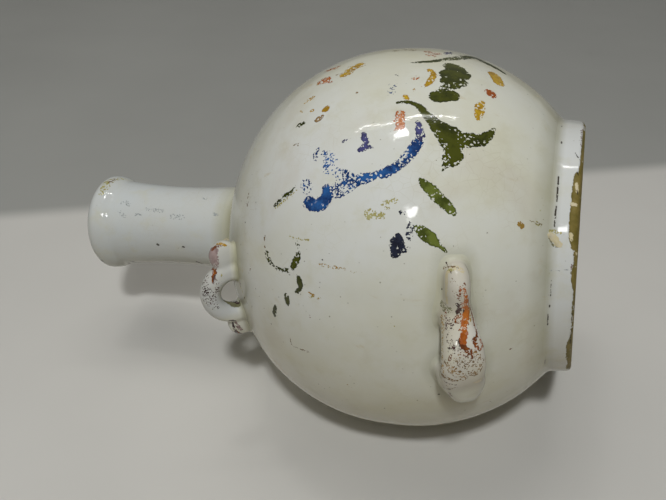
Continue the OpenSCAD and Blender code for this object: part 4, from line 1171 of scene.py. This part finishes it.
lower_marks = [
    # Pale outline of the front pad
    ("cream", 0.08, [(-37.5, -1.5, -0.5, 2.2), (-39.5, 0.5, 0, 2.6), (-40, 3, 0.5, 2.6), (-39, 5, 2, 2.2)]),
    ("cream", 0.08, [(-37.5, -1.5, -0.5, 2.4), (-34, -2.5, 2, 2.4), (-29.5, -3, 3.5, 2.6),
        (-26, -3, 5, 1.8)]),
    # Specks all over the pads and the strap
    ("brown", 0.9, [(-36.5, -1, 3.5, 3), (-33.5, 0, 7, 3.9), (-27.5, -1.5, 7, 3.9)]),
    ("umber", 0.92, [(-19, -3.5, 8.5, 4.4), (-15, -3.5, 14, 5.3), (-11, -3.5, 18, 6.1)]),
    ("rust", 0.72, [(-34.5, 3.5, 7.5, 1.7), (-28.5, 3.5, 8.5, 2.6), (-21, 2, 9, 2.6),
        (-16.5, 1, 13.5, 2.6)]),
    ("rust", 0.74, [(-20, -4, 6, 2.2), (-17, -4.5, 9.5, 2.6), (-15, -4, 13, 2.6)]),
    ("ochre", 0.6, [(-18.5, -5.5, 4, 1.8), (-14.5, -6, 8.5, 2.2), (-9.5, -7.5, 13, 2),
        (-4.5, -8.5, 16.5, 2), (1.5, -8.5, 18.5, 2.2)]),
    ("brown", 0.8, [(-8.5, 6, 19.5, 4.4), (-4, 7.5, 20.5, 4.4), (0.5, 4.5, 21.5, 5.3)]),
    ("straw", 0.55, [(-38.5, -1, -1.5, 0.9), (-39.5, 0, 0.5, 1.1), (-39.5, 1.5, 1.5, 0.7)]),
    ("olive", 0.55, [(-23, -4.5, 0, 2.2), (-23, -4, 3.5, 4), (-23, -3, 6, 3.5), (-23, -1.5, 7.5, 1.8)]),
    # Orange streak down the strap, edged with rust
    ("rust", 0.42, [(-33.5, 1, 7.5, 1.7), (-32, 1.5, 8, 2.2), (-29.5, 1.5, 8.5, 1.7)]),
    ("orange", 0.3, [(-34.5, 2.5, 7.5, 0.9), (-32, 2.5, 8, 1)]),
    ("orange", 0.3, [(-33.5, 4, 7.5, 2), (-30.5, 4, 8.5, 2.8), (-26.5, 4.5, 8, 3.7), (-22.5, 4.5, 8, 4.4)]),
    ("rust", 0.25, [(-33.5, 4, 7.5, 1), (-30, 3.5, 8.5, 1.7), (-26, 4, 8, 2.4), (-22.5, 4.5, 8, 2.2),
        (-20.5, 4, 9.5, 1.3)]),
    ("umber", 0.25, [(-27, 0.5, 8.5, 1.3), (-24.5, 1.5, 8.5, 1.8), (-22.5, 0.5, 8.5, 1.5),
        (-23, 3, 8.5, 1.8)]),
    ("orange", 0.2, [(-23, 4.5, 8, 4.4), (-20.5, 4, 9.5, 4.2), (-18, 2.5, 12, 3.7),
        (-15.5, 2, 14.5, 3.3), (-13, 1, 17, 2.8)]),
    # Rust and ochre wear on the strap's edges
    ("rust", 0.35, [(-21, 7.5, 6, 1.3), (-18.5, 7.5, 8, 1.3), (-16.5, 7.5, 11, 1.1)]),
    ("rust", 0.45, [(-21, 0.5, 9, 1.8), (-19.5, -0.5, 10, 1.8), (-18.5, 1, 11, 1.8)]),
    ("rust", 0.12, [(-13.5, -0.5, 16.5, 2.2), (-12, 0, 17.5, 2.6), (-10.5, 1.5, 18.5, 2.2),
        (-10, 3, 19, 1.3)]),
    ("rust", 0.2, [(-14.5, 8, 12, 0.9), (-13.5, 7.5, 15, 1.1), (-13, 6, 16.5, 1.8),
        (-10.5, 6.5, 18, 2.4), (-9, 6.5, 19, 2)]),
    ("orange", 0.25, [(-11, 9.5, 15.5, 2.2), (-9, 10, 15.5, 1.8), (-9, 8.5, 18, 1.3)]),
    ("rust", 0.25, [(-9.5, 4, 19, 1.5), (-8, 4, 20, 1.3), (-6.5, 4, 20.5, 1.3)]),
    ("rust", 0.3, [(-22, -4, 5, 1.3), (-20.5, -4, 6, 1.3)]),
    ("ochre", 0.45, [(-18, -6, 3.5, 1.3), (-16.5, -5.5, 6.5, 1.8), (-14.5, -6, 7.5, 1.3)]),
    ("rust", 0.25, [(-18.5, -3.5, 9.5, 1.8), (-17, -4, 10.5, 2.2), (-15.5, -4.5, 12, 1.3)]),
    ("umber", 0.2, [(-12.5, -5, 15.5, 0.8), (-13, -3.5, 16.5, 0.7)]),
    ("rust", 0.35, [(-10, -5, 18, 1.1), (-8.5, -4.5, 19, 1.8), (-7, -5.5, 19.5, 1.5), (-6, -6, 19.5, 0.9)]),
    # Brown edge of the far pad, and single specks
    ("umber", 0.55, [(-8.5, -7.5, 11.5, 0.9), (-5.5, -8.5, 14, 1.2), (-1, -9, 16.5, 1.3),
        (4.5, -9, 15.5, 1.5)]),
    ("brown", 0.35, [(3, -9, 16.5, 1.6), (3, -7.5, 19.5, 1.6), (4, -5, 20.5, 1.3), (5, -2.5, 20.5, 0.9)]),
    ("brown", 0.72, [(-4, -7, 19, 3.5), (-2, -5, 21, 4.4), (0.5, -2.5, 21, 4.4), (3.5, 0, 21, 3.6)]),
    ("brown", 0.82, [(-9.5, -3, 19, 5.2), (-5.5, -0.5, 21, 6.2), (-3, 3, 21, 5.3)]),
    ("brown", 0.45, [(2.5, 4.5, 21.5, 1.3), (0.5, 6, 21.5, 1.6), (0.5, 7, 21.5, 1.1)]),
    ("brown", 0.6, [(9, -7, 18, 0.7), (10, -5, 19, 0.9), (9.5, -2.5, 19, 0.7)]),
    ("rust", 0.3, [(18.5, -5, 12.5, 0.9), (19.5, -4.5, 12, 0.7)]),
    ("umber", 0.1, [(-28.5, -3.5, -2.5, 0.7), (-29, -3.5, -2, 0.6)]),
    ("rust", 0.2, [(-35.5, 4.5, 6.5, 0.8), (-35, 5, 6.5, 0.7)]),
    ("rust", 0.12, [(-23, 7, 5.5, 0.8), (-20, 7.5, 6.5, 1.1), (-18, 7.5, 9, 0.9), (-15, 7.5, 12, 0.9),
        (-13, 8, 15, 1)]),
    ("rust", 0.3, [(-20, 2, 9.5, 1.3), (-18, 1, 11.5, 1.3)]),
    ("umber", 0.2, [(-39.5, -0.5, -6.5, 0.6), (-38.5, 0, 3, 0.5)]),
    ("brown", 0.3, [(-37.5, -2, -5, 0.8), (-40, 0, -2, 0.9), (-40, 3, 0.5, 0.7)]),
    ("umber", 0.35, [(-18, -5.5, 4, 0.8), (-13, -6.5, 6, 0.8), (-9, -7.5, 10, 0.9)]),
    ("brown", 0.5, [(14, -8, 11.5, 0.7), (12.5, -6.5, 16, 1), (10, -4, 19, 0.9)]),
    ("umber", 0.4, [(6, -8, 18, 0.8), (7, -5.5, 20, 0.9), (7.5, -3, 20, 0.7)]),
    ("rust", 0.6, [(-10.5, -2, 19, 2.2), (-8, -0.5, 20, 2.6), (-9, 2.5, 19.5, 2.6)]),
    ("rust", 0.3, [(16.5, -5, 13.5, 1.1), (20.5, -4, 11.5, 0.9)]),
    ("rust", 0.4, [(-20, 4.5, 9.5, 1.1), (-17.5, 4.5, 12, 0.9), (-15.5, 3, 14.5, 0.9)]),
    ("ochre", 0.5, [(-24, 6.5, 6, 1.3), (-21, 6.5, 7.5, 1.5), (-18.5, 6, 10.5, 1.3)]),
]
pigments["umber"] = ((0.030, 0.016, 0.016, 1), (0.10, 0.055, 0.045, 1), 0.9, 0.1)
# Light blue, which only paints a glint of reflected sky on the shoulder loop
pigments["sky"] = ((0.26, 0.42, 0.50, 1), (0.42, 0.55, 0.60, 1), 1.0, 0.06)
loop_paints = ("cream", "straw", "olive", "mauve", "ochre", "yellow", "brown", "rust", "orange",
               "umber", "sky")


def lay_on(nodes, loop, low, high, marks, finish):
    """One pair of loops, whose right one lies in the box from low to high in millimetres.

    The left one, at -X, is as photographed, and the right one is a little more worn.
    """
    verts, faces = skin_over(loop.clay, low, high, arch_cell)
    out, along = off_globe(verts), verts[:, 1]
    for node, side, worn in zip(nodes, (-1, 1), (0, 0.15)):
        mesh = bpy.data.meshes.new(node + "_glazed")
        mesh.from_pydata((verts * (side, 1, 1) / 1000).tolist(), [], faces[:, ::side].tolist())
        mesh.polygons.foreach_set("use_smooth", [True] * len(faces))
        piece = bpy.data.objects.new(node + "_glazed", mesh)
        bpy.context.scene.collection.objects.link(piece)

        def on_loop(point):
            along, down, away, width = point
            x = loop.seat_r + down * math.sin(loop.up) + away * math.cos(loop.up)
            z = loop.seat_h - down * math.cos(loop.up) + away * math.sin(loop.up)
            return np.array([x * side, along, z, width / 2])

        draw_strokes(piece, [(p, f + worn, m) for p, f, m in marks], on_loop, loop_paints)
        add_field(piece, "pooled", loop.pooled(verts))
        # The far pad, and the foot of the rest, keep the globe's glaze
        add_field(piece, "whitened", np.clip((out - 0.8) / 3, 0, 1)
                  * np.clip(1 - (along - 0.5 * loop.arch_r) / 5, 0, 1))
        mesh.materials.append(finish)
        # The globe round each loop's seat gets the same pooled glaze and painted shade
        around = loop.pooled(corners_of(globe) * (side, 1, 1) * 1000)
        globe.data.attributes["pooled"].data.foreach_set(
            "value", np.maximum(field_of(globe, "pooled"), around))
        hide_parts(node)
        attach(piece, "root")


lay_on(("shoulder_loop_left", "shoulder_loop_right"), shoulder,
       (52, -34.85, 158), (86, 35, 195), shoulder_marks,
       glazed("shoulder_loop_finish", (0.50, 0.51, 0.50, 1), (0.47, 0.465, 0.42, 1),
              pits=0.2, stains=0.4, crazing=0.2, paints=loop_paints, chip=1900))
lay_on(("lower_loop_left", "lower_loop_right"), lower,
       (80, -50, 27), (122, 44, 71), lower_marks,
       glazed("lower_loop_finish", (0.58, 0.555, 0.50, 1), (0.50, 0.465, 0.37, 1),
              pits=0.2, stains=0.9, crazing=0.2, paints=loop_paints, chip=1900))
